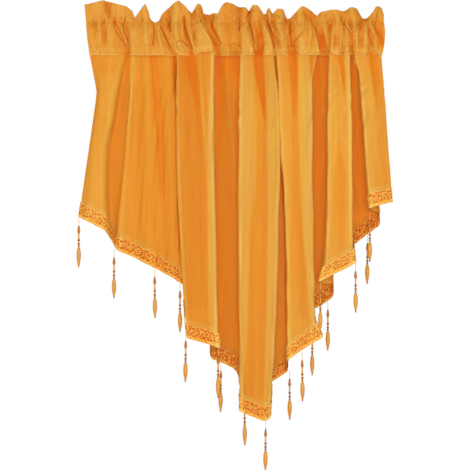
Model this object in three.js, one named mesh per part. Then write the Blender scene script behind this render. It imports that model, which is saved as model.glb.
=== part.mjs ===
// A short pointed voile curtain, hung from a gathered heading that holds a rod pocket and a ruffle.
// Its V-shaped hem carries a lace braid on the front and a row of bead drops.
// Millimetres, +Z up, front towards -Y. The origin is the middle of the heading's upper stitch line.
import * as THREE from "three";

const { clamp, lerp, smoothstep } = THREE.MathUtils;

// Heading, with heights measured from the upper stitch line
const LOWER_STITCH_Z = -46;
const POCKET_MIDDLE_Z = -23;
const STITCH_DEPTH = 2.6;
const POCKET_WALL = 1.6;
const POCKET_FLOOR = 2.5;
const POCKET_SHOULDER_Z = -5.5;
const POCKET_ROOF_Z = -4;
const POCKET_ROOF_DEPTH = 0.6;
const RUFFLE_THICKNESS = 2.4;
const SIDE_DRAW_IN = 7;
const HEADING_HALF_WIDTH = 216;

// The pocket's wall from the lower stitch line up: height, half depth, and how much a gather puffs it out.
const POCKET_WALL_LEVELS = [
  { z: LOWER_STITCH_Z, depth: 8.2, puffShare: 0, rise: POCKET_FLOOR },
  { z: -36, depth: 10, puffShare: 0.8, rise: 0 },
  { z: POCKET_MIDDLE_Z, depth: 11.5, puffShare: 1, rise: 0 },
  { z: -10, depth: 8.6, puffShare: 0.7, rise: -1 },
];
const REAR_PUFF_SHARE = 0.5;

// Hanging cloth
const CLOTH_THICKNESS = 1.2;
const SEAM_GAP = 0.3;
const MIDDLE_DROP = 230;
const GATHER_DEPTH_SHARE = 0.35;
const GATHER_LENGTH = 70;
const KICK_LENGTH = 28;
const FIXED_DROPS = [SEAM_GAP, 10, 30, 65];
const LOWER_SHARES = [0.33, 0.66, 1];
const SHORTEST_BENT_CREASE = 245;
const TURN_GAP = 6.5;
const TURN_LEAN = 1.5;

// Rounding of the folds: how far a corner is cut back, and the most of a side that it may take
const RIM_SOFTNESS = 3.5;
const CREASE_SOFTNESS = 6;
const WAVE_SOFTNESS = 14;
const SOFTNESS_SHARE = 0.3;

// Braid
const BRAID_HEIGHT = 21;
const BRAID_THICKNESS = 1.2;
const BRAID_GAP = 0.5;
const BRAID_OVERHANG = 0.5;
const BRAID_OFFSET = CLOTH_THICKNESS / 2 + BRAID_GAP + BRAID_THICKNESS / 2;

// Bead drops
const DROP_SIDES = 6;
const THREAD_GAP = 0.35;
const THREAD_REACH = 1;

const voile = new THREE.MeshStandardMaterial({ color: 0xe59433, roughness: 0.75, metalness: 0 });
const lace = new THREE.MeshStandardMaterial({ color: 0xd97a20, roughness: 0.6, metalness: 0 });
const beads = new THREE.MeshStandardMaterial({ color: 0xf08a1c, roughness: 0.25, metalness: 0 });

// The folds from left to right: one row for each crease that runs down the cloth.
// Columns: name, x at the stitch line, x at the middle drop, x at the hem, depth (front is negative),
// drop of the hem below the stitch line, and how the crease bows, kicks out, softens or laps over the next.
const CREASES = [
  ["left side edge", -207, -222, -222, -11, 231, { bow: 14 }],
  ["left edge ridge", -197, -209, -210, -20, 237, { bow: 5 }],
  ["left strip rim", -157, -182, -183, -17, 252, { bow: -10, soft: RIM_SOFTNESS }],
  ["left valley start", -154, -178, -179, 21, 273, { bow: -9, soft: RIM_SOFTNESS }],
  ["left valley end", -151, -171, -172, 20, 277, { bow: 8, soft: RIM_SOFTNESS }],
  ["ridge one", -147, -163, -165, -2, 281, { bow: 4 }],
  ["groove one", -138, -144, -144, 5, 289, { soft: WAVE_SOFTNESS }],
  ["ridge two", -124, -122, -121, -8, 301, { soft: WAVE_SOFTNESS }],
  ["groove two", -119, -106, -104, 1, 310, { bow: 7, soft: WAVE_SOFTNESS }],
  ["ridge three", -100, -94, -90, -6, 317, { soft: WAVE_SOFTNESS }],
  ["side panel end", -91, -82, -74, 2, 328, {}],
  ["tuck start", -80, -72, -64, 20, 334, {}],
  ["tuck end", -46, -42, -41, 20, 343, { lap: true, soft: RIM_SOFTNESS }],
  ["inner pleat start", -72, -68, -59, 3, 349, { soft: RIM_SOFTNESS }],
  ["inner pleat end", -46, -42, -41, 3, 355, { lap: true, soft: RIM_SOFTNESS }],
  ["second strip left rim", -83, -80, -68, -17, 404, { soft: RIM_SOFTNESS }],
  ["second strip facet", -55, -39, -38, -20, 412, {}],
  ["second strip right rim", -29, -26.5, -24, -17, 418, { kick: 2, lap: true, soft: RIM_SOFTNESS }],
  ["middle valley turn", -36, -36, -34.5, 18, 435, { soft: RIM_SOFTNESS }],
  ["middle valley ridge", -10, -2, -8, 15, 445, { soft: WAVE_SOFTNESS }],
  ["middle valley right", 3, 4, 6, 14, 455, {}],
  ["point tuck start", 12, 11, 11, 1, 486, {}],
  ["point tuck end", 28, 28, 28, 1, 490, { lap: true, soft: RIM_SOFTNESS }],
  ["point left rim", 9, 7, 9, -17, 508, { soft: RIM_SOFTNESS }],
  ["point facet", 29, 24, 18, -21, 512, {}],
  ["point", 46, 51, 42, -20, 522, {}],
  ["point right rim", 58, 63, 50, -16, 518, { bow: 3, lap: true, soft: RIM_SOFTNESS }],
  ["dark turn", 42, 39, 34, 17, 481, { soft: RIM_SOFTNESS }],
  ["dark right", 61, 72, 81, 18, 454, { soft: RIM_SOFTNESS }],
  ["third strip left rim", 62.5, 73, 81, -16, 435, { soft: RIM_SOFTNESS }],
  ["third strip facet", 92, 99.5, 104, -20, 415, {}],
  ["third strip right rim", 119, 113, 115, -16, 403, { bow: -3, kick: 10, lap: true, soft: RIM_SOFTNESS }],
  ["third valley turn", 100, 95, 92, 19, 375, { soft: RIM_SOFTNESS }],
  ["third valley middle", 126, 124, 127, 21, 358, { soft: WAVE_SOFTNESS }],
  ["third valley right turn", 141, 141, 142.5, 17, 346.5, { lap: true, soft: RIM_SOFTNESS }],
  ["fourth strip left rim", 136, 133, 126, -17, 323.5, { kick: -4, soft: RIM_SOFTNESS }],
  ["fourth crease a", 148, 148, 142.5, -20, 312, {}],
  ["fourth crease b", 159, 160, 160, -18, 304, {}],
  ["fourth strip right rim", 164.5, 168, 170, -16, 297, { bow: 1.5, kick: 2, soft: RIM_SOFTNESS }],
  ["fourth valley left", 166, 169, 169, 19, 273.5, { soft: RIM_SOFTNESS }],
  ["fourth valley middle", 171, 187, 188, 21, 259, {}],
  ["fourth valley right turn", 176, 208, 210, 17, 243, { bow: 8, lap: true, soft: RIM_SOFTNESS }],
  ["right strip left rim", 171, 193, 193, -16, 219, { bow: 7, soft: RIM_SOFTNESS }],
  ["right strip crease", 192, 204, 204, -20, 215, {}],
  ["right side edge", 210, 225.5, 225, -12, 210, {}],
].map(([name, topX, middleX, hemX, depth, drop, habit]) => ({
  name, topX, middleX, hemX, depth, drop, bow: 0, kick: 0, soft: CREASE_SOFTNESS, lap: false, ...habit,
}));

// The gathers of the heading from left to right: one row for each gather or hollow.
// Columns: x, height of the ruffle's edge, how far that edge leans back, and how far the pocket puffs forward.
const GATHERS = [
  [-215, 24.8, 0, -1], [-201, 29, 3, 0.5], [-186, 31.5, 5, -1.5], [-166, 25.5, -4, 1.5], [-154, 23, -5, -1],
  [-146, 16.5, 0, -1.5], [-143, 6.6, 3, 0], [-135, 17, 4, 1.5], [-128, 26.8, 2, 1], [-121.5, 11.6, -3, -1.5],
  [-113, 4, -4, 0.5], [-104, 12.3, -1, 0], [-94, 21, 3, -1.5], [-80, 31.4, 5, 1], [-72.5, 25.5, 2, -1],
  [-62, 14, -3, -1.5], [-54.5, 25.5, -4, 0], [-50, 28, -2, 1.5], [-44, 13.2, 2, 0.5], [-35, 11.6, 4, -1.5],
  [-24, 12.3, 1, -1], [-19, 21.5, -3, 0.5], [-11, 28.4, -5, 1.5], [5, 22.6, -2, 0], [20.5, 16.5, 4, 1],
  [26, 25, 2, -1], [33.5, 23.9, -2, -1.5], [41, 13.2, -4, 0], [48.5, 21.5, 2, 1.5], [55, 12.3, 4, -1],
  [60.5, 19.3, 2, 0], [69.5, 18.9, -2, 1.5], [76, 6, -4, -1], [88, 14.9, 1, 0], [99.5, 23, 5, 1.5],
  [107.5, 19.8, 3, 1], [117.5, 9.5, -2, -1], [131, 17, -2, 0.5], [139, 18.2, 3, -1.5], [154, 16.5, 4, 1],
  [165.5, 21.5, 0, 1.5], [175.5, 19.8, -4, -1], [185.5, 6.3, 0, 0.5], [199, 17, 4, 0], [206.5, 23, 0, -1],
  [213, 20.6, -2, 0],
].map(([x, top, lean, puff]) => ({ x, top, lean, puff }));

// One drop from its thread down: distance below the braid, and radius.
const DROP_PROFILE = [
  [0, 0.6], [11.5, 0.6], [20.5, 1.9], [24, 1.1], [31.5, 1.1], [33, 2.1], [35, 0.8],
  [38.5, 1.6], [41.5, 0.9], [42.5, 2.7], [52, 3], [68.5, 0.8], [71, 0.5],
];

// Where the drops are sewn on: the crease, and how far past it along the hem.
const DROP_PLACES = [
  ["left side edge", 1.5],
  ["left valley start", 4],
  ["ridge two", 7],
  ["ridge three", 13],
  ["inner pleat end", 33],
  ["second strip right rim", -1],
  ["middle valley turn", 13],
  ["point tuck start", 3.5],
  ["point", 2],
  ["dark right", 3],
  ["third strip left rim", 16],
  ["third strip right rim", 38],
  ["fourth strip left rim", 0],
  ["third valley middle", 8],
  ["fourth strip right rim", 1.5],
  ["right strip left rim", -10],
  ["fourth valley middle", 4],
];

function creaseX(crease, drop) {
  const s = Math.min(drop, crease.drop);
  const along = s / crease.drop;
  let x = lerp(crease.topX, crease.hemX, along);
  if (crease.drop > SHORTEST_BENT_CREASE) {
    const middleAlong = MIDDLE_DROP / crease.drop;
    const bend = crease.middleX - lerp(crease.topX, crease.hemX, middleAlong);
    x += (bend * along * (1 - along)) / (middleAlong * (1 - middleAlong));
  }
  const bowAlong = Math.min(s / MIDDLE_DROP, 1);
  const kickShare = smoothstep(s, crease.drop - KICK_LENGTH, crease.drop);
  return x + crease.bow * 4 * bowAlong * (1 - bowAlong) + crease.kick * kickShare;
}

// How far the folds have opened out below the stitch line
function spreadAt(drop) {
  return lerp(GATHER_DEPTH_SHARE, 1, smoothstep(drop, 0, GATHER_LENGTH));
}

function creaseCorner(crease, drop) {
  return { x: creaseX(crease, drop), y: crease.depth * spreadAt(drop), soft: crease.soft, hem: crease.drop };
}

// Where a fold laps over the next one, the cloth turns back between the two layers.
function lapCorners(from, to, drop) {
  const toFront = to.y < from.y;
  const gap = (TURN_GAP * spreadAt(drop)) / Math.abs(to.y - from.y);
  const turns = toFront
    ? [[from.x, gap], [to.x + TURN_LEAN, gap]]
    : [[from.x - TURN_LEAN, 1 - gap], [to.x, 1 - gap]];
  const corners = turns.map(([x, share]) => ({ x, y: lerp(from.y, to.y, share), soft: RIM_SOFTNESS }));
  const lengths = [from, ...corners, to].map((corner, i, all) => (i ? distance(all[i - 1], corner) : 0));
  const whole = lengths.reduce((sum, length) => sum + length);
  let walked = 0;
  corners.forEach((corner, i) => {
    walked += lengths[i + 1];
    corner.hem = lerp(from.hem, to.hem, walked / whole);
  });
  return corners;
}

function distance(a, b) {
  return Math.hypot(b.x - a.x, b.y - a.y);
}

function foldCorners(dropOf) {
  const corners = [];
  CREASES.forEach((crease, i) => {
    const corner = creaseCorner(crease, dropOf(crease));
    corners.push({ ...corner, name: crease.name });
    if (crease.lap) {
      const next = CREASES[i + 1];
      corners.push(...lapCorners(corner, creaseCorner(next, dropOf(next)), dropOf(crease)));
    }
  });
  return corners;
}

// Each corner between the two side edges is cut back to two columns, so the folds are softened.
function columnsOf(corners) {
  return corners.flatMap((corner, i) => {
    if (i === 0 || i === corners.length - 1) return [corner];
    const sides = [corners[i - 1], corners[i + 1]];
    const shortest = Math.min(...sides.map((side) => distance(corner, side)));
    const cut = Math.min(corner.soft, SOFTNESS_SHARE * shortest);
    return sides.map((side) => {
      const share = cut / distance(corner, side);
      return {
        name: corner.name,
        x: lerp(corner.x, side.x, share),
        y: lerp(corner.y, side.y, share),
        hem: lerp(corner.hem, side.hem, share),
      };
    });
  });
}

const HEM_COLUMNS = columnsOf(foldCorners((crease) => crease.drop));
const COLUMN_HEMS = HEM_COLUMNS.map((column) => column.hem);

// The cloth's middle line at one drop, moved sideways towards its front face.
function offsetPath(drop, towardsFront) {
  const path = columnsOf(foldCorners(() => drop));
  const sides = path.slice(1).map((point, i) => {
    const length = distance(path[i], point);
    return { x: (point.y - path[i].y) / length, y: -(point.x - path[i].x) / length };
  });
  return path.map((point, i) => {
    const before = sides[Math.max(i - 1, 0)];
    const after = sides[Math.min(i, sides.length - 1)];
    const sum = { x: before.x + after.x, y: before.y + after.y };
    const reach = (2 * towardsFront) / (sum.x * sum.x + sum.y * sum.y);
    return new THREE.Vector3(point.x + sum.x * reach, point.y + sum.y * reach, LOWER_STITCH_Z - drop);
  });
}

// A grid of points on the cloth: one line for each level, one point for each column.
function clothGrid(levels, towardsFront) {
  const pointAt = (dropAt) => (hem, column) => offsetPath(dropAt(hem), towardsFront)[column];
  return levels.map((dropAt) => COLUMN_HEMS.map(pointAt(dropAt)));
}

// A closed sheet between a front and a back grid.
function closedSheet(front, back) {
  const lines = front.length;
  const columns = front[0].length;
  const positions = [...front.flat(), ...back.flat()].flatMap((point) => point.toArray());
  const f = (line, column) => line * columns + column;
  const b = (line, column) => (lines + line) * columns + column;
  const faces = [];
  const quad = (p, q, r, s) => faces.push(p, q, r, p, r, s);
  for (let line = 0; line < lines - 1; line += 1) {
    for (let column = 0; column < columns - 1; column += 1) {
      quad(f(line, column), f(line + 1, column), f(line + 1, column + 1), f(line, column + 1));
      faces.push(b(line, column), b(line, column + 1), b(line + 1, column + 1));
      faces.push(b(line, column), b(line + 1, column + 1), b(line + 1, column));
    }
    quad(b(line, 0), b(line + 1, 0), f(line + 1, 0), f(line, 0));
    quad(b(line, columns - 1), f(line, columns - 1), f(line + 1, columns - 1), b(line + 1, columns - 1));
  }
  for (let column = 0; column < columns - 1; column += 1) {
    const low = lines - 1;
    quad(f(0, column), f(0, column + 1), b(0, column + 1), b(0, column));
    quad(f(low, column), b(low, column), b(low, column + 1), f(low, column + 1));
  }
  return indexedGeometry(positions, faces);
}

function indexedGeometry(positions, faces) {
  const geometry = new THREE.BufferGeometry();
  geometry.setAttribute("position", new THREE.Float32BufferAttribute(positions, 3));
  geometry.setIndex(faces);
  geometry.computeVertexNormals();
  return geometry;
}

function panelGeometry() {
  const levels = [
    ...FIXED_DROPS.map((drop) => () => drop),
    ...LOWER_SHARES.map((share) => (hem) => lerp(FIXED_DROPS.at(-1), hem - BRAID_HEIGHT, share)),
    (hem) => hem,
  ];
  return closedSheet(clothGrid(levels, CLOTH_THICKNESS / 2), clothGrid(levels, -CLOTH_THICKNESS / 2));
}

function braidGeometry() {
  const levels = [(hem) => hem - BRAID_HEIGHT, (hem) => hem + BRAID_OVERHANG];
  const outer = BRAID_OFFSET + BRAID_THICKNESS / 2;
  const inner = BRAID_OFFSET - BRAID_THICKNESS / 2;
  return closedSheet(clothGrid(levels, outer), clothGrid(levels, inner));
}

// The heading is a tube that is flattened at both stitch lines, with the ruffle standing on its upper one.
function headingRings({ x, top, lean, puff }) {
  const wall = (side, inset) => POCKET_WALL_LEVELS.map(({ z, depth, puffShare, rise }) => {
    const sidePuff = side < 0 ? -puff : -puff * REAR_PUFF_SHARE;
    return [side * (depth - inset) + sidePuff * puffShare, inset ? z + rise : z];
  });
  const outer = [
    ...wall(-1, 0),
    [-STITCH_DEPTH, 0],
    [lean - RUFFLE_THICKNESS / 2, top],
    [lean + RUFFLE_THICKNESS / 2, top],
    [STITCH_DEPTH, 0],
    ...wall(1, 0).reverse(),
  ];
  const inner = [
    ...wall(-1, POCKET_WALL),
    [-STITCH_DEPTH, POCKET_SHOULDER_Z],
    [-POCKET_ROOF_DEPTH, POCKET_ROOF_Z],
    [POCKET_ROOF_DEPTH, POCKET_ROOF_Z],
    [STITCH_DEPTH, POCKET_SHOULDER_Z],
    ...wall(1, POCKET_WALL).reverse(),
  ];
  const place = ([y, z]) => {
    const drawn = (SIDE_DRAW_IN / HEADING_HALF_WIDTH) * smoothstep(-z, -POCKET_MIDDLE_Z, -LOWER_STITCH_Z);
    return new THREE.Vector3(x * (1 - drawn), y, z);
  };
  return [outer.map(place), inner.map(place)];
}

function headingGeometry() {
  const rings = GATHERS.map(headingRings);
  const around = rings[0][0].length;
  const positions = rings.flat(2).flatMap((point) => point.toArray());
  const outer = (column, j) => column * 2 * around + (j % around);
  const inner = (column, j) => (column * 2 + 1) * around + (j % around);
  const faces = [];
  const quad = (p, q, r, s) => faces.push(p, q, r, p, r, s);
  const last = rings.length - 1;
  for (let j = 0; j < around; j += 1) {
    for (let column = 0; column < last; column += 1) {
      quad(outer(column, j), outer(column + 1, j), outer(column + 1, j + 1), outer(column, j + 1));
      quad(inner(column, j), inner(column, j + 1), inner(column + 1, j + 1), inner(column + 1, j));
    }
    quad(outer(0, j), outer(0, j + 1), inner(0, j + 1), inner(0, j));
    quad(outer(last, j), inner(last, j), inner(last, j + 1), outer(last, j + 1));
  }
  return indexedGeometry(positions, faces);
}

function dropGeometry() {
  const length = DROP_PROFILE.at(-1)[0];
  const rows = [[0, 0], ...DROP_PROFILE, [length, 0]];
  const outline = rows.map(([down, radius]) => new THREE.Vector2(radius, -down));
  const geometry = new THREE.LatheGeometry(outline.reverse(), DROP_SIDES);
  geometry.rotateX(Math.PI / 2);
  return geometry;
}

// A place on the braid's lower edge, found by walking along it from a crease.
function hemPlace(name, past) {
  const edge = clothGrid([(hem) => hem + BRAID_OVERHANG], BRAID_OFFSET)[0];
  const columns = HEM_COLUMNS.map((column, i) => (column.name === name ? i : -1)).filter((i) => i >= 0);
  const point = edge[columns[0]].clone().add(edge[columns.at(-1)]).multiplyScalar(0.5);
  const onwards = past > 0;
  let next = onwards ? columns.at(-1) + (columns.length > 1 ? 0 : 1) : columns[0];
  let left = Math.abs(past);
  while (left > 0) {
    const step = distance(point, edge[next]);
    point.lerp(edge[next], clamp(left / step, 0, 1));
    left -= step;
    next += onwards ? 1 : -1;
  }
  return point;
}

// A thread starts just below the lowest part of the braid's edge beside it.
function threadTop(name, past) {
  const place = hemPlace(name, past);
  const beside = [-THREAD_REACH, THREAD_REACH].map((step) => hemPlace(name, past + step).z);
  place.z = Math.min(place.z, ...beside) - THREAD_GAP;
  return place;
}

function piece(name, geometry, material) {
  const mesh = new THREE.Mesh(geometry, material);
  mesh.name = name;
  return mesh;
}

const curtain = new THREE.Group();
curtain.add(piece("heading", headingGeometry(), voile));
curtain.add(piece("panel", panelGeometry(), voile));
curtain.add(piece("braid", braidGeometry(), lace));
DROP_PLACES.forEach(([name, past], i) => {
  const drop = piece(`drop_${String(i + 1).padStart(2, "0")}`, dropGeometry(), beads);
  drop.position.copy(threadTop(name, past));
  curtain.add(drop);
});

export default curtain;
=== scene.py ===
# A short pointed voile curtain: a gathered heading with a rod pocket and a ruffle, one pleated panel cut to
# a point, a lace braid along its hem, and bead drops. Metres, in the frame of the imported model.
import math

import bpy
import numpy as np
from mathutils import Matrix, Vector


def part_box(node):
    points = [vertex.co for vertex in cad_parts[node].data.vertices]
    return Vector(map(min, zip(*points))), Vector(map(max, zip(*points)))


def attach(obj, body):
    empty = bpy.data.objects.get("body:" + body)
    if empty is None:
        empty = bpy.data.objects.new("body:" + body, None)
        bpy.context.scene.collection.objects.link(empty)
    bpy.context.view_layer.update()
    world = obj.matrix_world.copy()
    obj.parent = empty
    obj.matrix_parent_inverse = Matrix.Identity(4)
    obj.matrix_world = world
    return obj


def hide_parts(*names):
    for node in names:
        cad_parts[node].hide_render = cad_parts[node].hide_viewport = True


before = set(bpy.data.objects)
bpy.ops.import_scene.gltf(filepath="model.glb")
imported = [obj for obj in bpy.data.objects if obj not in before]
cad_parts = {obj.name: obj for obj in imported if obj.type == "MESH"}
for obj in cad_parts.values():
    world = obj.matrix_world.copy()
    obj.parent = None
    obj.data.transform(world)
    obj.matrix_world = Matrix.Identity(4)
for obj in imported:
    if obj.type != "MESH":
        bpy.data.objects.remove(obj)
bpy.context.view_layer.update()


# The room. The curtain hangs free before a white studio wall that isn't built, over a plain pale floor.
# The light is broad and soft and comes from the front, so the deep folds are lit by the cloth beside them.
VIEW_MIDDLE = Vector((0.0007, 0, -0.3036))
VIEW_WIDTH = 0.673
CAMERA_DISTANCE = 2.6
SENSOR_WIDTH = 36
WALL_WHITE = (1, 1, 1, 1)
WALL_LIGHT = 0.36
FLOOR_DROP = 1.15
FLOOR_HALF = 3.5
FLOOR_COLOUR = (0.82, 0.81, 0.79, 1)
FLOOR_ROUGHNESS = 0.8
LAMPS = [
    # name, place, size and power
    ("soft_box_front", (0.12, -2.7, -0.1), 0.9, 34),
    ("soft_box_left", (-1.9, -1.7, 0.7), 1.2, 14),
    ("soft_box_right", (1.9, -1.8, 0.1), 1.2, 10),
    ("soft_box_rear", (0.6, 2.4, 0.9), 1.8, 4),
]


def placed(name, data):
    # a new object with this mesh, lamp or camera in it
    thing = bpy.data.objects.new(name, data)
    bpy.context.collection.objects.link(thing)
    return thing


def node(tree, kind, sockets, **fields):
    # a shader node with its fields set; a socket gets a value, or a link if it's given another node's output
    made = tree.nodes.new("ShaderNode" + kind)
    for key, value in fields.items():
        setattr(made, key, value)
    for socket, value in sockets.items():
        if isinstance(value, bpy.types.NodeSocket):
            tree.links.new(value, made.inputs[socket])
        else:
            made.inputs[socket].default_value = value
    return made


camera = placed("camera", bpy.data.cameras.new("camera"))
camera.location = VIEW_MIDDLE - Vector((0, CAMERA_DISTANCE, 0))
camera.rotation_euler = (math.pi / 2, 0, 0)
camera.data.sensor_width = SENSOR_WIDTH
camera.data.lens = SENSOR_WIDTH * CAMERA_DISTANCE / VIEW_WIDTH
bpy.context.scene.camera = camera
bpy.context.scene.view_settings.view_transform = "Standard"

world = bpy.data.worlds.new("studio")
world.use_nodes = True
seen = node(world.node_tree, "LightPath", {}).outputs["Is Camera Ray"]
level = node(world.node_tree, "MapRange", {"To Min": WALL_LIGHT, "To Max": 1, "Value": seen})
wall = world.node_tree.nodes["Background"]
wall.inputs["Color"].default_value = WALL_WHITE
world.node_tree.links.new(level.outputs["Result"], wall.inputs["Strength"])
bpy.context.scene.world = world

for name, place, size, power in LAMPS:
    lamp = placed(name, bpy.data.lights.new(name, "AREA"))
    lamp.data.size = size
    lamp.data.energy = power
    lamp.location = place
    lamp.rotation_euler = (VIEW_MIDDLE - lamp.location).to_track_quat("-Z", "Y").to_euler()

floor_mesh = bpy.data.meshes.new("floor")
floor_corners = [(x * FLOOR_HALF, y * FLOOR_HALF, -FLOOR_DROP)
                 for x, y in ((-1, -1), (1, -1), (1, 1), (-1, 1))]
floor_mesh.from_pydata(floor_corners, [], [(0, 1, 2, 3)])
floor = placed("floor", floor_mesh)
floor_paint = bpy.data.materials.new("pale_floor")
floor_paint.use_nodes = True
floor_paint.node_tree.nodes["Principled BSDF"].inputs["Base Color"].default_value = FLOOR_COLOUR
floor_paint.node_tree.nodes["Principled BSDF"].inputs["Roughness"].default_value = FLOOR_ROUGHNESS
floor_mesh.materials.append(floor_paint)


# The panel. One piece of thin polyester voile, cut to a point below, with a narrow hem at each side and a
# wide turned hem along the V. It is gathered into the heading and hangs in deep, uneven pleats.
MM = 0.001
LOWER_STITCH = -46
MIDDLE_DROP = 230
RIM = 3.5
WAVE = 16
LEFT_STRIP_DRIFT = [(0, 0), (60, 3), (93, 4), (130, 0)]
BESIDE_THE_POINT = [(0, -2.5), (40, -2), (80, -3.5), (140, -3.5), (190, -1), (300, -1.5), (390, -4.5)]
# The creases, from left to right: name, x at the stitch line, at the middle drop and at the hem, depth (front
# is negative), drop of the hem, its painted shade (0 on a single lit layer, 1 in the shade where one layer
# lies behind another), and its habits: how it bows, kicks out, softens, is drawn in at the waist, laps over
# the next one or shifts at some drops. All in millimetres.
CREASES = [
    ("left side edge", -207, -222, -222, -11, 231, 0.4, dict(waist=14)),
    ("left edge ridge", -197, -209, -210, -20, 237, 0.3, dict(waist=10, soft=9)),
    ("left strip rim", -157, -182, -183, -17, 252, 0.12, dict(bow=-8, soft=7, shift=LEFT_STRIP_DRIFT)),
    ("left valley start", -154, -178, -179, 7, 262, 0.5, dict(bow=-7, soft=6, shift=LEFT_STRIP_DRIFT)),
    ("left valley end", -151, -171, -172, 6, 272, 0.55, dict(bow=8, soft=6)),
    ("ridge one", -147, -163, -165, -4, 281, 0.26, dict(bow=4)),
    ("groove one", -138, -144, -144, 5, 289, 0.52, dict(soft=WAVE)),
    ("ridge two", -124, -122, -121, -8, 301, 0.5, dict(soft=WAVE)),
    ("groove two", -119, -106, -104, 1, 310, 0.6, dict(bow=7, soft=WAVE)),
    ("ridge three", -100, -94, -90, -6, 317, 0.6, dict(soft=WAVE)),
    ("side panel end", -91, -82, -74, -7, 328, 0.52, dict(shift=[(0, 0), (25, 2), (65, 6), (150, 6),
     (200, 2.5), (250, 0)])),
    ("tuck start", -80, -72, -64, 20, 334, 0.8, {}),
    ("tuck end", -46, -42, -41, 20, 343, 0.9, dict(lap=True, soft=RIM)),
    ("inner pleat start", -72, -68, -59, 3, 349, 0.8, dict(soft=RIM)),
    ("inner pleat end", -46, -42, -41, 3, 355, 0.8, dict(lap=True, soft=RIM)),
    ("second strip left rim", -83, -80, -68, -17, 404, 0.5, dict(soft=RIM)),
    ("second strip facet", -55, -39, -38, -20, 412, 0.62, dict(soft=8)),
    ("second strip right rim", -29, -26.5, -24, -17, 418, 0.1, dict(kick=2, lap=True, soft=RIM,
     shift=[(0, -0.5), (40, -1.5), (170, -1.5), (230, 0)])),
    ("middle valley turn", -36, -36, -34.5, 18, 435, 0.9, dict(soft=RIM)),
    ("middle valley ridge", -10, -2, -8, 15, 445, 0.72, dict(soft=WAVE)),
    ("middle valley right", 3, 4, 6, 14, 455, 0.82, {}),
    ("point tuck start", 12, 11, 11, 1, 486, 0.9, {}),
    ("point tuck end", 28, 28, 28, 1, 490, 0.9, dict(lap=True, soft=RIM)),
    ("point left rim", 9, 7, 9, -17, 508, 0.32, dict(soft=RIM, shift=[(0, -0.8), (40, -2.2), (300, -2.2),
     (420, -1)])),
    ("point facet", 29, 24, 18, -21, 512, 0.5, dict(soft=7)),
    ("point", 46, 51, 42, -20, 522, 0.5, dict(soft=7)),
    ("point right rim", 58, 63, 50, -16, 518, 0.12, dict(bow=3, lap=True, soft=RIM)),
    ("dark turn", 42, 39, 34, 16, 481, 0.68, dict(soft=RIM)),
    ("dark right", 61, 72, 81, 16, 454, 0.6, dict(soft=RIM, shift=BESIDE_THE_POINT)),
    ("third strip left rim", 62.5, 73, 81, -16, 435, 0.15, dict(soft=RIM, shift=BESIDE_THE_POINT)),
    ("third strip facet", 92, 99.5, 104, -20, 415, 0.42, dict(soft=8)),
    ("third strip right rim", 119, 113, 115, -16, 403, 0.1, dict(bow=-3, kick=10, lap=True, soft=RIM,
     shift=[(0, 0), (20, -1.5), (45, -4), (70, -2.5), (95, -1), (120, 0)])),
    ("third valley turn", 100, 95, 92, 19, 375, 0.86, dict(soft=RIM)),
    ("third valley middle", 126, 124, 127, 21, 358, 0.86, dict(soft=WAVE)),
    ("third valley right turn", 141, 141, 142.5, 17, 346.5, 0.9, dict(lap=True, soft=RIM)),
    ("fourth strip left rim", 136, 133, 126, -17, 323.5, 0.1, dict(kick=-4, soft=RIM, shift=[(0, -1.5),
     (40, -3.5), (93, -5), (180, -3.5), (240, -1)])),
    ("fourth crease a", 148, 148, 142.5, -20, 312, 0.16, {}),
    ("fourth crease b", 159, 160, 160, -18, 304, 0.18, {}),
    ("fourth strip right rim", 164.5, 168, 170, -16, 297, 0.1, dict(bow=1.5, kick=2, soft=RIM)),
    ("fourth valley left", 166, 169, 169, 19, 273.5, 0.9, dict(soft=RIM)),
    ("fourth valley middle", 171, 187, 188, 21, 259, 0.95, {}),
    ("fourth valley right turn", 176, 208, 210, 17, 243, 0.9, dict(bow=8, lap=True, soft=RIM)),
    ("right strip left rim", 171, 193, 193, -16, 219, 0.24, dict(bow=7, soft=RIM, shift=[(0, -0.5),
     (7, -1.5), (24, 1), (57, -2.5), (93, -5), (150, -6.5), (190, -5), (215, -1)])),
    ("right strip crease", 192, 204, 204, -20, 215, 0.3, {}),
    ("right side edge", 210, 225.5, 225, -12, 210, 0.42, {}),
]
DEPTH, HEM, TONE, HABIT = 4, 5, 6, 7
SHORTEST_BENT = 245
GATHER_SHARE = 0.35
GATHER_LENGTH = 70
KICK_LENGTH = 28
WAIST_DROP, WAIST_DIP, WAIST_REACH = 54, 0.04, 12
TURN_GAP = 6.5
TURN_LEAN = 1.5
DEFAULT_SOFT = 6
MOST_ROUNDED = 0.46
RETURN_NEAR, RETURN_FAR = 0.1, 0.22
TINY = 1e-9


def ramp(value, low, high):
    # 0 up to low, 1 from high on, and a smooth rise between them
    t = np.clip((value - low) / (high - low), 0, 1)
    return t * t * (3 - 2 * t)


def read_off(table, at, column=1):
    # what a table's column says at these places along its first column
    return np.interp(at, [row[0] for row in table], [row[column] for row in table])


def curved(start, middle, end, t):
    # a point on the curve from start to end that middle draws towards itself
    return (1 - t) ** 2 * start + 2 * t * (1 - t) * middle + t * t * end


def gathered(drop):
    # how much of its full depth a fold has at this drop
    return GATHER_SHARE + (1 - GATHER_SHARE) * ramp(drop, 0, GATHER_LENGTH)


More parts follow.
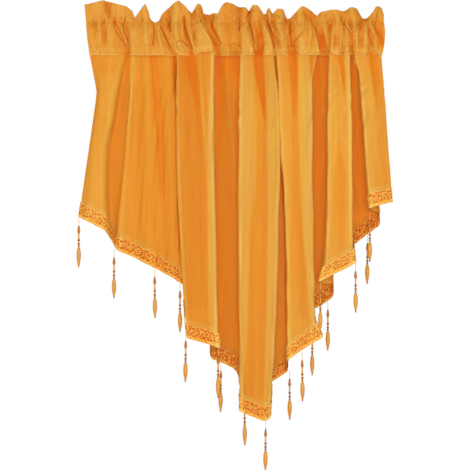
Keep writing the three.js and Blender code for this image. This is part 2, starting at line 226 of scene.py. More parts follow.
def crease_at(row, drop):
    _, top_x, middle_x, hem_x, depth, hem, _, habit = row
    s = np.minimum(drop, hem)
    along = s / hem
    x = top_x + (hem_x - top_x) * along
    if hem > SHORTEST_BENT:
        middle = MIDDLE_DROP / hem
        bend = middle_x - (top_x + (hem_x - top_x) * middle)
        x = x + bend * along * (1 - along) / (middle * (1 - middle))
    f = np.minimum(s / MIDDLE_DROP, 1)
    x = x + habit.get("bow", 0) * 4 * f * (1 - f) + habit.get("kick", 0) * ramp(s, hem - KICK_LENGTH, hem)
    pull = np.minimum(s / WAIST_DROP, (hem - s) / (hem - WAIST_DROP))
    dip = WAIST_DIP * np.maximum(0, 1 - np.abs(s - WAIST_DROP) / WAIST_REACH)
    x = x + habit.get("waist", 0) * (pull - dip) + read_off(habit.get("shift", [(0, 0)]), s)
    return x, depth * gathered(drop) + 0 * x


# The corners of the fold line: each crease, and two more where a fold laps over the next.
CORNERS = []
for i, row in enumerate(CREASES):
    CORNERS.append((i, None))
    if row[HABIT].get("lap"):
        CORNERS += [(i, "heel"), (i, "turn")]
last_corner = len(CORNERS) - 1


def corner_at(k, drop):
    i, part = CORNERS[k]
    x, y = crease_at(CREASES[i], drop)
    if part is None:
        return np.stack([x, y])
    next_x, next_y = crease_at(CREASES[i + 1], drop)
    gap = TURN_GAP * gathered(drop) / np.abs(next_y - y)
    to_front = CREASES[i + 1][DEPTH] < CREASES[i][DEPTH]
    if part == "heel":
        turn_x = x if to_front else x - TURN_LEAN
    else:
        turn_x = next_x + TURN_LEAN if to_front else next_x
    return np.stack([turn_x, y + (next_y - y) * (gap if to_front else 1 - gap)])


def soft_of(k):
    i, part = CORNERS[k]
    return RIM if part else CREASES[i][HABIT].get("soft", DEFAULT_SOFT)


def rounded_corner(k, drop):
    # where the rounding of corner k starts, its corner and where it ends
    middle = corner_at(k, drop)
    before, after = corner_at(k - 1, drop), corner_at(k + 1, drop)
    lengths = [np.hypot(*(middle - side)) for side in (before, after)]
    cut = np.minimum(soft_of(k), MOST_ROUNDED * np.minimum(*lengths))
    return middle + (before - middle) * cut / lengths[0], middle, middle + (after - middle) * cut / lengths[1]


# A column of the cloth is a place on the fold line: round a corner, or along the side that follows it.
CORNER_STEPS = np.linspace(0, 1, 8)
SIDE_STEP = 3.0
corner_hems = np.array([float(CREASES[i][HEM]) for i, _ in CORNERS])
hem_corners = [corner_at(k, corner_hems[k]) for k in range(last_corner + 1)]
side_lengths = [float(np.hypot(*(hem_corners[k + 1] - hem_corners[k]))) for k in range(last_corner)]
for k, (i, part) in enumerate(CORNERS):
    if part == "heel":
        # the cloth that turns back behind the longer fold is cut off near the shorter one's hem
        here, following = CREASES[i][HEM], CREASES[i + 1][HEM]
        shares = (RETURN_NEAR, RETURN_FAR) if here < following else (RETURN_FAR, RETURN_NEAR)
        for j, share in enumerate(shares):
            corner_hems[k + j] = min(here, following) + abs(following - here) * share
COLUMNS = []
for k in range(last_corner + 1):
    if 0 < k < last_corner:
        COLUMNS += [(k, "round", t) for t in CORNER_STEPS]
    else:
        COLUMNS.append((k, "end", 0))
    if k < last_corner:
        count = max(1, int(side_lengths[k] / SIDE_STEP) - 1)
        COLUMNS += [(k, "side", (n + 1) / (count + 1)) for n in range(count)]


def fold_line(drops):
    # drops has a column for each column of the cloth; the result is x and y of the cloth's middle
    result = np.zeros((2,) + drops.shape)
    for c, (k, kind, t) in enumerate(COLUMNS):
        drop = drops[:, c]
        if kind == "end":
            result[:, :, c] = corner_at(k, drop)
        elif kind == "round":
            result[:, :, c] = curved(*rounded_corner(k, drop), t)
        else:
            start = rounded_corner(k, drop)[2] if k > 0 else corner_at(k, drop)
            end = rounded_corner(k + 1, drop)[0] if k + 1 < last_corner else corner_at(k + 1, drop)
            result[:, :, c] = start + (end - start) * t
    return result


# The hem's drop at each column
inner_cuts = [min(soft_of(k), MOST_ROUNDED * min(side_lengths[k - 1:k + 1])) for k in range(1, last_corner)]
hem_cuts = [0.0] + inner_cuts + [0.0]
hems = np.zeros(len(COLUMNS))
for c, (k, kind, t) in enumerate(COLUMNS):
    if kind == "end":
        hems[c] = corner_hems[k]
    elif kind == "round":
        before = corner_hems[k] + (corner_hems[k - 1] - corner_hems[k]) * hem_cuts[k] / side_lengths[k - 1]
        after = corner_hems[k] + (corner_hems[k + 1] - corner_hems[k]) * hem_cuts[k] / side_lengths[k]
        hems[c] = curved(before, corner_hems[k], after, t)
    else:
        run = hem_cuts[k] + (side_lengths[k] - hem_cuts[k] - hem_cuts[k + 1]) * t
        hems[c] = corner_hems[k] + (corner_hems[k + 1] - corner_hems[k]) * run / side_lengths[k]

# each column's place between the corners, the crease it belongs to, which columns are the front rims that get
# a painted highlight and which are cloth that turns back and gets painted light, and the corners' painted
# shade
FRONT_DEPTH = -12
column_place = np.array([k + (0.5 * (t - 0.5) if kind == "round" else 0.25 + 0.5 * t if kind == "side" else 0)
                         for k, kind, t in COLUMNS])
column_crease = np.array([CORNERS[min(int(place + 0.5), last_corner)][0] for place in column_place])
rim_highlight_columns = np.array([kind == "round" and CORNERS[k][1] is None and soft_of(k) == RIM
                        and CREASES[CORNERS[k][0]][DEPTH] < FRONT_DEPTH for k, kind, t in COLUMNS])
turned_back = np.array([kind == "side" and "turn" in (CORNERS[k][1], CORNERS[k + 1][1])
                        for k, kind, t in COLUMNS])
corner_tones = np.array([float(CREASES[i + (part == "turn")][TONE]) for i, part in CORNERS])


def fold_normals(line):
    # the side of the fold line that is the cloth's face
    along = np.gradient(line, axis=2)
    along /= np.maximum(np.hypot(along[0], along[1]), TINY)
    return np.stack([along[1], -along[0]])


def cloth_run(line):
    # how far along the cloth each column lies
    return np.cumsum(np.hypot(*np.gradient(line, axis=2)), axis=1)


# Lesser pleats and troughs on the faces of the main folds. Each runs down within one part of the cloth, given
# by its first and last crease: how much painted shade (or painted light, if negative) it puts in the colour,
# how far it stands back (or forward, if negative), and its left and right limits at some drops. It fades past
# its last drop.
PLEATS = [
    ("left side edge", "left strip rim", [
        (0.2, 0, [(0, -214, -157), (22, -214, -159)]),
        (0.06, -1.2, [(7, -193, -183), (107, -197, -181), (208, -198, -181)]),
    ]),
    ("left strip rim", "ridge one", [
        (0.2, 0.6, [(5, -157, -148.5), (107, -176, -163), (208, -181, -172)]),
    ]),
    ("left valley end", "groove one", [
        (-0.26, -0.8, [(0, -150.5, -140), (60, -152, -143.5), (107, -157, -151), (150, -161, -157)]),
    ]),
    ("groove one", "groove two", [
        (-0.06, -1.0, [(4, -134, -122), (64, -131, -121), (136, -128, -121)]),
    ]),
    ("groove two", "ridge three", [
        (0.27, 1.6, [(5, -121, -111), (64, -116, -105.5), (136, -111, -101), (208, -106, -100)]),
    ]),
    ("ridge three", "side panel end", [
        (-0.06, -0.6, [(0, -103, -92), (120, -98, -84)]),
    ]),
    ("side panel end", "tuck start", [
        (0.35, 0, [(0, -91, -80), (40, -88, -77)]),
    ]),
    ("second strip left rim", "second strip facet", [
        (-0.15, -0.8, [(0, -83, -80), (120, -80, -78), (300, -77, -75)]),
    ]),
    ("second strip left rim", "second strip right rim", [
        (0.24, 2.0, [(5, -72, -56), (43, -63, -49), (79, -55, -49), (136, -50.5, -48)]),
        (-0.4, -1.4, [(7, -53, -47), (50, -50, -45), (93, -46.5, -42), (136, -43.5, -40)]),
    ]),
    ("second strip facet", "second strip right rim", [
        (-0.5, -1.2, [(0, -33, -28), (50, -34, -28), (93, -37.5, -28), (136, -39, -28), (208, -38.5, -27),
         (336, -37.5, -24), (394, -36, -20)]),
    ]),
    ("middle valley turn", "middle valley right", [
        (-0.3, -2.0, [(0, -14, -8), (93, -12, -3.5), (150, -7, -2)]),
        (0.16, 1.2, [(0, -28, -16), (93, -27, -15)]),
    ]),
    ("point left rim", "point right rim", [
        (-0.42, -1.2, [(7, 6, 28), (93, 6, 30), (193, 8, 29), (265, 7, 21.5), (351, 7, 20), (422, 7, 17),
         (470, 8, 13)]),
        (0.56, 2.4, [(3, 26, 41), (36, 30.5, 43), (72, 38.5, 44.5), (100, 43.5, 46)]),
        (-0.42, -1.2, [(7, 42, 54.5), (79, 44.5, 57), (208, 47.5, 61), (322, 46.5, 61), (422, 44, 57.5),
         (494, 41, 51.5)]),
        (0.5, 1.4, [(0, 54.5, 60), (30, 59, 62)]),
    ]),
    ("third strip left rim", "third strip right rim", [
        (0.46, 2.0, [(5, 76, 90), (36, 79.5, 89), (79, 83, 87), (95, 84, 85)]),
        (0.2, 0.8, [(93, 81.5, 89.5), (208, 81, 92.5), (336, 78, 102.5)]),
        (-0.4, -1.2, [(7, 90.5, 106.5), (93, 91, 109.5), (179, 94, 111), (265, 98, 112.5), (336, 104, 114),
         (390, 107.5, 115)]),
        (0.28, 1.2, [(5, 106.5, 118), (29, 109.5, 116.5), (55, 112, 114)]),
    ]),
    ("third valley turn", "third valley right turn", [
        (-0.3, -1.4, [(8, 123, 126.5), (72, 127, 129.5), (120, 129.5, 130.5)]),
    ]),
    ("fourth strip left rim", "fourth strip right rim", [
        (0.5, 2.4, [(2, 148, 156), (29, 152.5, 157.5), (46, 155.5, 157.5)]),
        (0.1, 0.8, [(15, 142.5, 151), (64, 145.5, 155), (179, 147, 159.5), (258, 145.5, 159.5)]),
        (0.26, 0, [(120, 147, 147), (170, 142, 158), (290, 139, 158)]),
        (-0.32, -1.0, [(5, 158, 165), (100, 161.5, 168), (290, 163, 169)]),
    ]),
    ("fourth valley left", "fourth valley right turn", [
        (-0.34, -2.4, [(4, 169, 177.5), (30, 170.5, 178), (64, 172, 181)]),
    ]),
    ("right strip left rim", "right side edge", [
        (-0.16, -1.0, [(7, 178, 191), (64, 181, 197), (122, 187, 200), (208, 189, 200)]),
        (0.42, 2.0, [(5, 192, 203), (29, 195.5, 205.5), (57, 200, 205)]),
    ]),
]
PLEAT_EDGE = 1.4
PLEAT_ROUND = 1.2
FADES_FROM, FADES_TO, FADES_LATER = 0.75, 1.25, 12
# painted light and shade on the panel: a highlight on the rims, light on the returns, shade under the heading
RIM_PALER = 0.34
RETURN_PALER = 0.5
TOP_REACH = (10, 52)
DEEP_TONE = 0.68
TOP_VALLEY_SHADE = 0.36
TOP_SHADED = 0.16
TONE_OF_RIM, TONE_OF_DEEPEST = -0.35, 1.45
ANY_ANGLE = (0, 6.28)
FULL_TURN = 6.283
STREAK_HEIGHT = 0.16
STREAK_REACH = (5, 60)
PUCKER_HEIGHT, PUCKER_LENGTH, PUCKER_REACH = 0.55, 5.3, 22
PUCKER_DRIFT, DRIFT_LENGTH = 1.7, 17
CREASE_NAMES = [row[0] for row in CREASES]


def drawn_waves(seed, count, shortest, longest, slant):
    # uneven waves along the cloth: the length, phase and slant of each
    draw = np.random.default_rng(seed).uniform
    return [(draw(shortest, longest), draw(*ANY_ANGLE), draw(-slant, slant)) for _ in range(count)]


STREAKS = drawn_waves(seed=11, count=9, shortest=9, longest=26, slant=0.004)


def folded_cloth(drops, towards_front=0.0):
    # the cloth's points, its run and its tone of painted light and shade at these drops, with the lesser
    # pleats pressed in
    line = fold_line(drops)
    normal = fold_normals(line)
    width = cloth_run(line)
    push = np.full(drops.shape, float(towards_front))
    tone = np.interp(column_place, np.arange(len(CORNERS)), corner_tones) + 0 * drops
    # painted highlight on the front rims, and painted light on the cloth that turns back, to lessen the shade
    # in its narrow gap
    tone = tone - RIM_PALER * rim_highlight_columns - RETURN_PALER * turned_back
    # painted shade near the top, under the heading: more in the valleys, less on the faces
    near_top = (1 - ramp(drops, *TOP_REACH)) * (column_crease >= CREASE_NAMES.index("second strip left rim"))
    tone = tone + near_top * np.where(tone > DEEP_TONE, TOP_VALLEY_SHADE, TOP_SHADED)
    for first, last, pleats in PLEATS:
        own = (column_crease >= CREASE_NAMES.index(first)) & (column_crease <= CREASE_NAMES.index(last))
        for deeper, back, limits in pleats:
            left, right = read_off(limits, drops, 1), read_off(limits, drops, 2)
            within = ramp(line[0], left - PLEAT_EDGE, left + PLEAT_EDGE)
            within = within * (1 - ramp(line[0], right - PLEAT_EDGE, right + PLEAT_EDGE))
            last_drop = limits[-1][0]
            fade = 1 - ramp(drops, last_drop * FADES_FROM, last_drop * FADES_TO + FADES_LATER)
            # painted shade in the troughs, painted light where a pleat stands out
            tone = tone + deeper * within * fade * own
            across = np.clip((line[0] - left) / np.maximum(right - left, 1), 0, 1)
            push = push - back * fade * own * np.sin(np.pi * across) ** PLEAT_ROUND
    free = ramp(drops, *STREAK_REACH)
    for wave, phase, slant in STREAKS:
        push += STREAK_HEIGHT * free * np.sin(width * FULL_TURN / wave + phase + slant * drops * FULL_TURN)
    near = np.exp(-drops / PUCKER_REACH)
    drift = PUCKER_DRIFT * np.sin(width / DRIFT_LENGTH)
    push += PUCKER_HEIGHT * near * np.sin(width * FULL_TURN / PUCKER_LENGTH + drift)
    line = line + normal * push
    points = np.stack([line[0], line[1], LOWER_STITCH - drops], axis=-1)
    return points, width, np.clip(tone, TONE_OF_RIM, TONE_OF_DEEPEST)


def grid_faces(rows, columns, wrap=False):
    faces = []
    for r in range(rows - 1):
        for c in range(columns if wrap else columns - 1):
            d = (c + 1) % columns
            faces.append((r * columns + c, (r + 1) * columns + c, (r + 1) * columns + d, r * columns + d))
    return faces


def smooth_mesh(name, points, faces, uvs, **painted):
    # a smooth mesh, with its flat place on the cloth as UV in metres, and what is painted on its points
    mesh = bpy.data.meshes.new(name)
    mesh.from_pydata((points.reshape(-1, 3) * MM).tolist(), [], faces)
    corners = np.zeros(len(mesh.loops), int)
    mesh.loops.foreach_get("vertex_index", corners)
    layer = mesh.uv_layers.new(name="cloth")
    layer.data.foreach_set("uv", (uvs.reshape(-1, 2) * MM)[corners].reshape(-1))
    for key, values in painted.items():
        attribute = mesh.attributes.new(key, "FLOAT", "POINT")
        attribute.data.foreach_set("value", values.reshape(-1).astype(np.float32))
    mesh.polygons.foreach_set("use_smooth", np.ones(len(faces), bool))
    mesh.update()
    return mesh


def fitted(name, mesh, material, stands_for):
    # a finished piece: in its material, on the one body, and standing for its solid
    piece = placed(name, mesh)
    mesh.materials.append(material)
    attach(piece, "root")
    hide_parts(stands_for)
    return piece


# rows: down the panel's face, down its turned hem, and up the hem's inner side
HEM_TURN = 27.5
HEM_GAP = 0.45
HEM_PALER = 0.38
TURNED_FROM, TURNED_SHORT = 0.3, 0.5
TUCKED_IN = 8
UPPER_ROWS, HEM_ROWS, TURNED_ROWS = 104, 13, 9
CLOSER_ROWS, EVEN_ROWS = 0.35, 0.65
hem_line = hems[None, :]
down = np.linspace(0, 1, UPPER_ROWS)[:, None]
upper = -TUCKED_IN + (hem_line - HEM_TURN + TUCKED_IN) * (CLOSER_ROWS * down * down + EVEN_ROWS * down)
lower = hem_line - np.linspace(HEM_TURN, 0, HEM_ROWS)[1:, None]
turned = hem_line - np.linspace(TURNED_FROM, HEM_TURN - TURNED_SHORT, TURNED_ROWS)[:, None]
front_points, cloth_width, front_tone = folded_cloth(np.vstack([upper, lower]))
turned_points, _, turned_tone = folded_cloth(turned, towards_front=-HEM_GAP)
front_tone[UPPER_ROWS:] -= HEM_PALER
panel_grid = np.concatenate([front_points, turned_points])
panel_tone = np.concatenate([front_tone, turned_tone])
all_drops = np.vstack([upper, lower, turned])
panel_uv = np.stack([np.broadcast_to(cloth_width[-1][None, :], all_drops.shape), all_drops], axis=-1)
panel_mesh = smooth_mesh("panel_cloth", panel_grid, grid_faces(*panel_tone.shape), panel_uv,
                         tone=panel_tone, shade=0 * panel_tone)

# the voile: fine crossed threads that let light through, with painted light and shade in five steps, from a
# painted highlight on the lit rims to painted shade in the deepest folds
VOILE_RIM_HIGHLIGHT = (0.93, 0.60, 0.125, 1)
VOILE_PALE = (0.87, 0.475, 0.066, 1)
VOILE_MID = (0.84, 0.318, 0.022, 1)
VOILE_FOLD_SHADE = (0.865, 0.224, 0.003, 1)
DEEPEST_FOLD_SHADE = (0.72, 0.118, 0.001, 1)
# painted shadow: the colour multiplied in along the narrow creases
CREASE_SHADOW_COLOUR = (0.74, 0.52, 0.32, 1)
VOILE_THROUGH = (0.97, 0.30, 0.025, 1)
VOILE_SEEN_THROUGH = (0.97, 0.36, 0.04, 1)
SHEEN_COLOUR = (1, 0.72, 0.35, 1)
THREAD_PITCH = 0.45 * MM
# the uneven yarns, as scale along and across the cloth and strength, and what they do to red, green and blue
UNEVEN_YARNS = [(620, 12, 1.3), (12, 800, 0.5), (190, 3, 0.9)]
UNEVEN_DYE = (0.10, 0.28, 0.4)
LIGHT_THROUGH = 0.25
GAPS, GAPS_OF_WEAVE = 0.06, 0.04
# the mix node's two colour sockets and its colour output
MIX_A, MIX_B, MIXED = 6, 7, 2


def math_node(tree, operation, *values):
    return node(tree, "Math", dict(enumerate(values)), operation=operation).outputs[0]


def painted_on(tree, name):
    return node(tree, "Attribute", {}, attribute_name=name).outputs["Fac"]


def coloured(tree, value, first, last, between):
    # the colour for a value from 0 to 1: on the voile that value is painted light and shade, on the lace
    # partly, on the beads their own colours
    colour_and_shade_ramp = node(tree, "ValToRGB", {0: value})
    colour_and_shade_ramp.color_ramp.elements[0].color = first
    colour_and_shade_ramp.color_ramp.elements[1].color = last
    for share, colour in between:
        colour_and_shade_ramp.color_ramp.elements.new(share).color = colour
    return colour_and_shade_ramp.outputs[0]


voile = bpy.data.materials.new("voile")
voile.use_nodes = True
tree = voile.node_tree
tree.nodes.clear()
uv = node(tree, "UVMap", {}, uv_map="cloth").outputs[0]
axes = node(tree, "SeparateXYZ", {0: uv}).outputs
across, down = [math_node(tree, "SINE", math_node(tree, "MULTIPLY", axis, 2 * math.pi / THREAD_PITCH))
                for axis in (axes[0], axes[1])]
weave = math_node(tree, "MULTIPLY", across, down)
uneven = []
for along, crossing, strength in UNEVEN_YARNS:
    stretched = node(tree, "CombineXYZ", {0: math_node(tree, "MULTIPLY", axes[0], along),
                                          1: math_node(tree, "MULTIPLY", axes[1], crossing)})
    noise = node(tree, "TexNoise", {"Scale": 1, "Detail": 2, "Vector": stretched.outputs[0]})
    uneven.append(math_node(tree, "MULTIPLY", math_node(tree, "SUBTRACT", noise.outputs[0], 0.5), strength))
yarns = math_node(tree, "ADD", math_node(tree, "ADD", uneven[0], uneven[1]), uneven[2])
# the painted tone picks the colour: a painted highlight on the rims, painted shade in the folds
fold_shading = node(tree, "MapRange", {"From Min": TONE_OF_RIM, "From Max": TONE_OF_DEEPEST,
                                 "Value": painted_on(tree, "tone")})
painted_shading = coloured(tree, fold_shading.outputs[0], VOILE_RIM_HIGHLIGHT, DEEPEST_FOLD_SHADE,
                [((tone - TONE_OF_RIM) / (TONE_OF_DEEPEST - TONE_OF_RIM), colour)
                 for tone, colour in ((0, VOILE_PALE), (0.5, VOILE_MID), (1, VOILE_FOLD_SHADE))])
yarn_tint = node(tree, "CombineColor", {
    n: math_node(tree, "ADD", math_node(tree, "MULTIPLY", yarns, share), 1)
    for n, share in enumerate(UNEVEN_DYE)})
tinted = node(tree, "Mix", {0: 1, MIX_A: painted_shading, MIX_B: yarn_tint.outputs[0]},
              data_type="RGBA", blend_type="MULTIPLY")
# painted shadow along the narrow creases, where the shade attribute is
shadow = node(tree, "Mix", {0: painted_on(tree, "shade"), MIX_A: tinted.outputs[MIXED],
                            MIX_B: CREASE_SHADOW_COLOUR}, data_type="RGBA", blend_type="MULTIPLY")
bump = node(tree, "Bump", {"Strength": 0.12, "Distance": 0.0001, "Height": weave})
cloth = node(tree, "BsdfPrincipled", {
    "Base Color": shadow.outputs[MIXED], "Roughness": 0.62, "Specular IOR Level": 0.18, "Sheen Weight": 0.1,
    "Sheen Roughness": 0.45, "Sheen Tint": SHEEN_COLOUR, "Normal": bump.outputs[0]})
through = node(tree, "BsdfTranslucent", {"Color": VOILE_THROUGH})
body = node(tree, "MixShader", {0: LIGHT_THROUGH, 1: cloth.outputs[0], 2: through.outputs[0]})
gaps = node(tree, "BsdfTransparent", {"Color": VOILE_SEEN_THROUGH})
open_share = math_node(tree, "ADD", math_node(tree, "MULTIPLY", weave, GAPS_OF_WEAVE), GAPS)
sheer = node(tree, "MixShader", {0: open_share, 1: body.outputs[0], 2: gaps.outputs[0]})
node(tree, "OutputMaterial", {0: sheer.outputs[0]})

panel = fitted("panel_cloth", panel_mesh, voile, "panel")


# The heading. The same cloth, doubled: it goes up the front of the rod pocket, on up into a stand-up ruffle,
# over its top fold and back down behind. Two rows of stitches hold it in tight, uneven gathers.

# The folds: x at the upper stitch, at mid pocket and at the lower stitch, how far each of these places stands
# forward (1) or back (-1) in its folds, and softness. All in millimetres.
GATHERED_FOLDS = [
    (-212, -210, -207, 0.2, 0.0, 0.1, 3), (-204, -201, -197, 0.6, 0.7, 0.5, 4),
    (-198.5, -195.5, -193, -0.3, 0.3, 0.4, 2), (-192.5, -191, -188, 0.6, 0.7, 0.6, 3),
    (-187, -186, -184, -0.5, -0.4, 0.2, 2), (-180, -179, -174, 0.8, 0.8, 0.6, 4),
    (-173, -160, -156, -0.8, -0.9, -1.0, 2), (-165.5, -157, -152.5, 0.4, 0.2, -0.9, 3),
    (-157.5, -152.5, -149.5, -1.0, -0.9, -1.0, 2), (-152.5, -148, -148, 0.7, 0.9, 0.6, 2),
    (-137, -135.5, -135.5, 0.1, 0.5, 0.2, 6), (-125.5, -124.5, -123, 0.8, 1.0, 0.5, 4),
    (-117, -117, -119, -0.6, -0.5, -0.3, 2), (-110.5, -107, -101, 0.8, 1.0, 0.6, 4),
    (-106.5, -98.5, -88, -0.3, -0.9, -1.0, 2), (-99.5, -94, -83, 0.6, 0.7, -0.3, 3),
    (-94, -90.5, -80, -1.0, -0.1, 0.3, 2), (-84, -81.5, -74, 0.9, 1.0, 0.5, 6),
    (-72.5, -67.5, -60, -1.0, -0.9, -1.0, 2), (-65, -61.5, -55, 0.6, 0.9, 0.8, 3),
    (-58.5, -57, -51, -0.4, -0.2, 0.7, 2), (-52.5, -49.5, -44, 0.7, 1.0, 1.0, 4),
    (-44.5, -36, -30, 0.8, 1.0, 1.0, 2), (-41, -32, -27.5, -0.5, -0.7, -1.0, 2),
    (-33.5, -27, -19.5, -1.0, -0.9, -1.0, 3), (-29.5, -22, -15, 0.5, 0.9, -0.2, 3),
    (-18, -12, -6.5, 0.9, 1.0, 0.1, 6), (-8, -4, -3, 0.6, 0.7, -1.0, 4), (1, 2, 6.5, 0.7, 0.7, -1.0, 4),
    (7, 7, 8, -0.6, -0.5, -0.5, 2), (9.5, 10, 10, 0.6, 1.0, 0.9, 2), (16.5, 22, 27.5, 0.8, 1.0, 1.0, 3),
    (21, 26, 29.5, -1.0, -0.7, -1.0, 2), (24.5, 29, 32, 0.5, 0.2, -1.0, 2),
    (28.5, 34.5, 37, -0.4, -1.0, -1.1, 3), (33.5, 39, 40.5, 0.0, -0.9, -1.1, 2),
    (37, 42, 42, 0.6, 0.9, 1.0, 2), (43, 51.5, 54, 0.9, 1.0, 0.9, 3),
    (46.5, 54.5, 57.5, -1.0, -0.8, -0.4, 2), (50, 57.5, 60, 0.5, 0.4, 0.2, 2),
    (53.5, 60.5, 62.5, -0.9, -0.6, 0.1, 2), (59.5, 65, 68, 0.9, 1.0, 0.6, 5), (68, 73, 75, 0.6, 0.7, 0.6, 4),
    (75, 77.5, 77.5, -0.8, -0.5, -1.0, 2), (79.5, 83, 89.5, -1.0, -0.8, -1.0, 3),
    (84, 89.5, 91, 0.6, 0.8, 1.0, 3), (95, 98, 99.5, 0.9, 1.0, 1.0, 6),
    (104.5, 108, 109.5, -0.4, 0.2, 0.5, 3), (108.5, 116.5, 121, 0.8, 1.0, 1.0, 2),
    (111, 120.5, 123, -0.5, -1.0, -1.0, 2), (120.5, 127.5, 134.5, -0.2, -0.9, -1.0, 4),
    (129.5, 131.5, 135, 0.8, 0.6, -0.9, 3), (137.5, 136, 136, -1.0, -0.4, -0.3, 2),
    (142.5, 138, 137, 0.6, 0.8, 1.0, 3), (147, 145.5, 147, 0.5, -0.3, 0.9, 4),
    (152.5, 152.5, 149, 0.8, 0.9, 0.9, 3), (155.5, 155.5, 153, -0.6, -0.2, -0.5, 2),
    (159.5, 160.5, 160.5, 0.7, 0.9, 0.8, 4), (165.5, 167.5, 168, -0.9, -0.6, -0.8, 2),
    (171, 173, 174, 0.8, 0.9, 0.7, 4), (179.5, 179.5, 178.5, -1.0, -0.3, 0.2, 2),
    (185.5, 187, 185.5, 0.8, 1.0, 0.9, 4), (189, 194, 192, -0.2, -0.5, -0.8, 2),
    (193.5, 200, 204, 0.8, 0.9, -0.5, 3), (201, 207.5, 207, -0.9, -0.9, 0.2, 3),
    (213.5, 214.5, 210, 0.2, -0.2, 0.4, 3),
]
# The ruffle's top fold: x, height above the upper stitch, and how far it stands forward (1) or back (-1)
RUFFLE_TOP = [
    (-217, 25, 0.1), (-201, 28, 0.5), (-186.5, 31.5, 0.8), (-181, 30, -1.0), (-175, 28, 0.7),
    (-166, 25.5, 0.6), (-154.5, 23, 0.3), (-146, 16.5, -0.3), (-143, 6.5, -0.9), (-136, 16, 0.4),
    (-127.5, 27, 0.8), (-122.6, 15.5, 0.3), (-121, 6.5, 0), (-117.5, 2.8, -0.4), (-113.5, 0.4, -0.8),
    (-108.5, 3, -0.5), (-104, 12.5, 0.1), (-95, 21, -0.9), (-89, 26, 0.7), (-80, 31.5, 0.9),
    (-72.5, 25.5, -0.2), (-66, 18, 0.4), (-61, 14, -1.0), (-54.5, 25.5, -0.2), (-50.5, 28, -0.1),
    (-46.5, 24, -0.5), (-44, 13, -0.9), (-35, 11.5, -0.9), (-31, 13.5, 0.1), (-24, 12.5, 0.5),
    (-19.5, 21.5, 0.9), (-15, 27, 1.0), (-11, 28.5, 0.9), (-2, 26, 0.8), (4, 23, 0.6), (7.5, 22.5, -0.9),
    (11, 22, 0.3), (16.5, 21.5, 0.4), (20.5, 16.5, -1.0), (26, 25, 0.7), (33.5, 24, 0.6), (37.5, 19, 0.1),
    (41, 13, -0.4), (45, 11.5, -0.6), (48.5, 21.5, 0.7), (51, 19, 0.2), (55, 12.5, -0.6), (60.5, 19.5, 0.5),
    (69.5, 19, 0.7), (72.5, 12.5, -0.9), (75.5, 6, -0.9), (79.5, 6.5, -0.3), (88, 15, 0.4), (94.5, 22, 0.8),
    (99.5, 23, 0.9), (104, 21, -0.3), (110, 18, -0.8), (117.5, 9.5, -0.8), (122.5, 15, 0.3),
    (129.5, 16, 0.6), (139, 18, 0.4), (147.5, 18, 0.5), (154, 16.5, -0.3), (159.5, 17.5, -0.2),
    (164.5, 21, 0.7), (168.5, 21.5, 0.7), (175.5, 20, 0.3), (180.5, 11.5, -0.8), (183.5, 6.5, -1.0),
    (188.5, 6, -0.6), (192.5, 9, 0.2), (197.5, 15, 0.5), (201.5, 22, 0.9), (206.5, 23, 0.7),
    (211, 20.5, 0.1), (214, 10, -0.2),
]
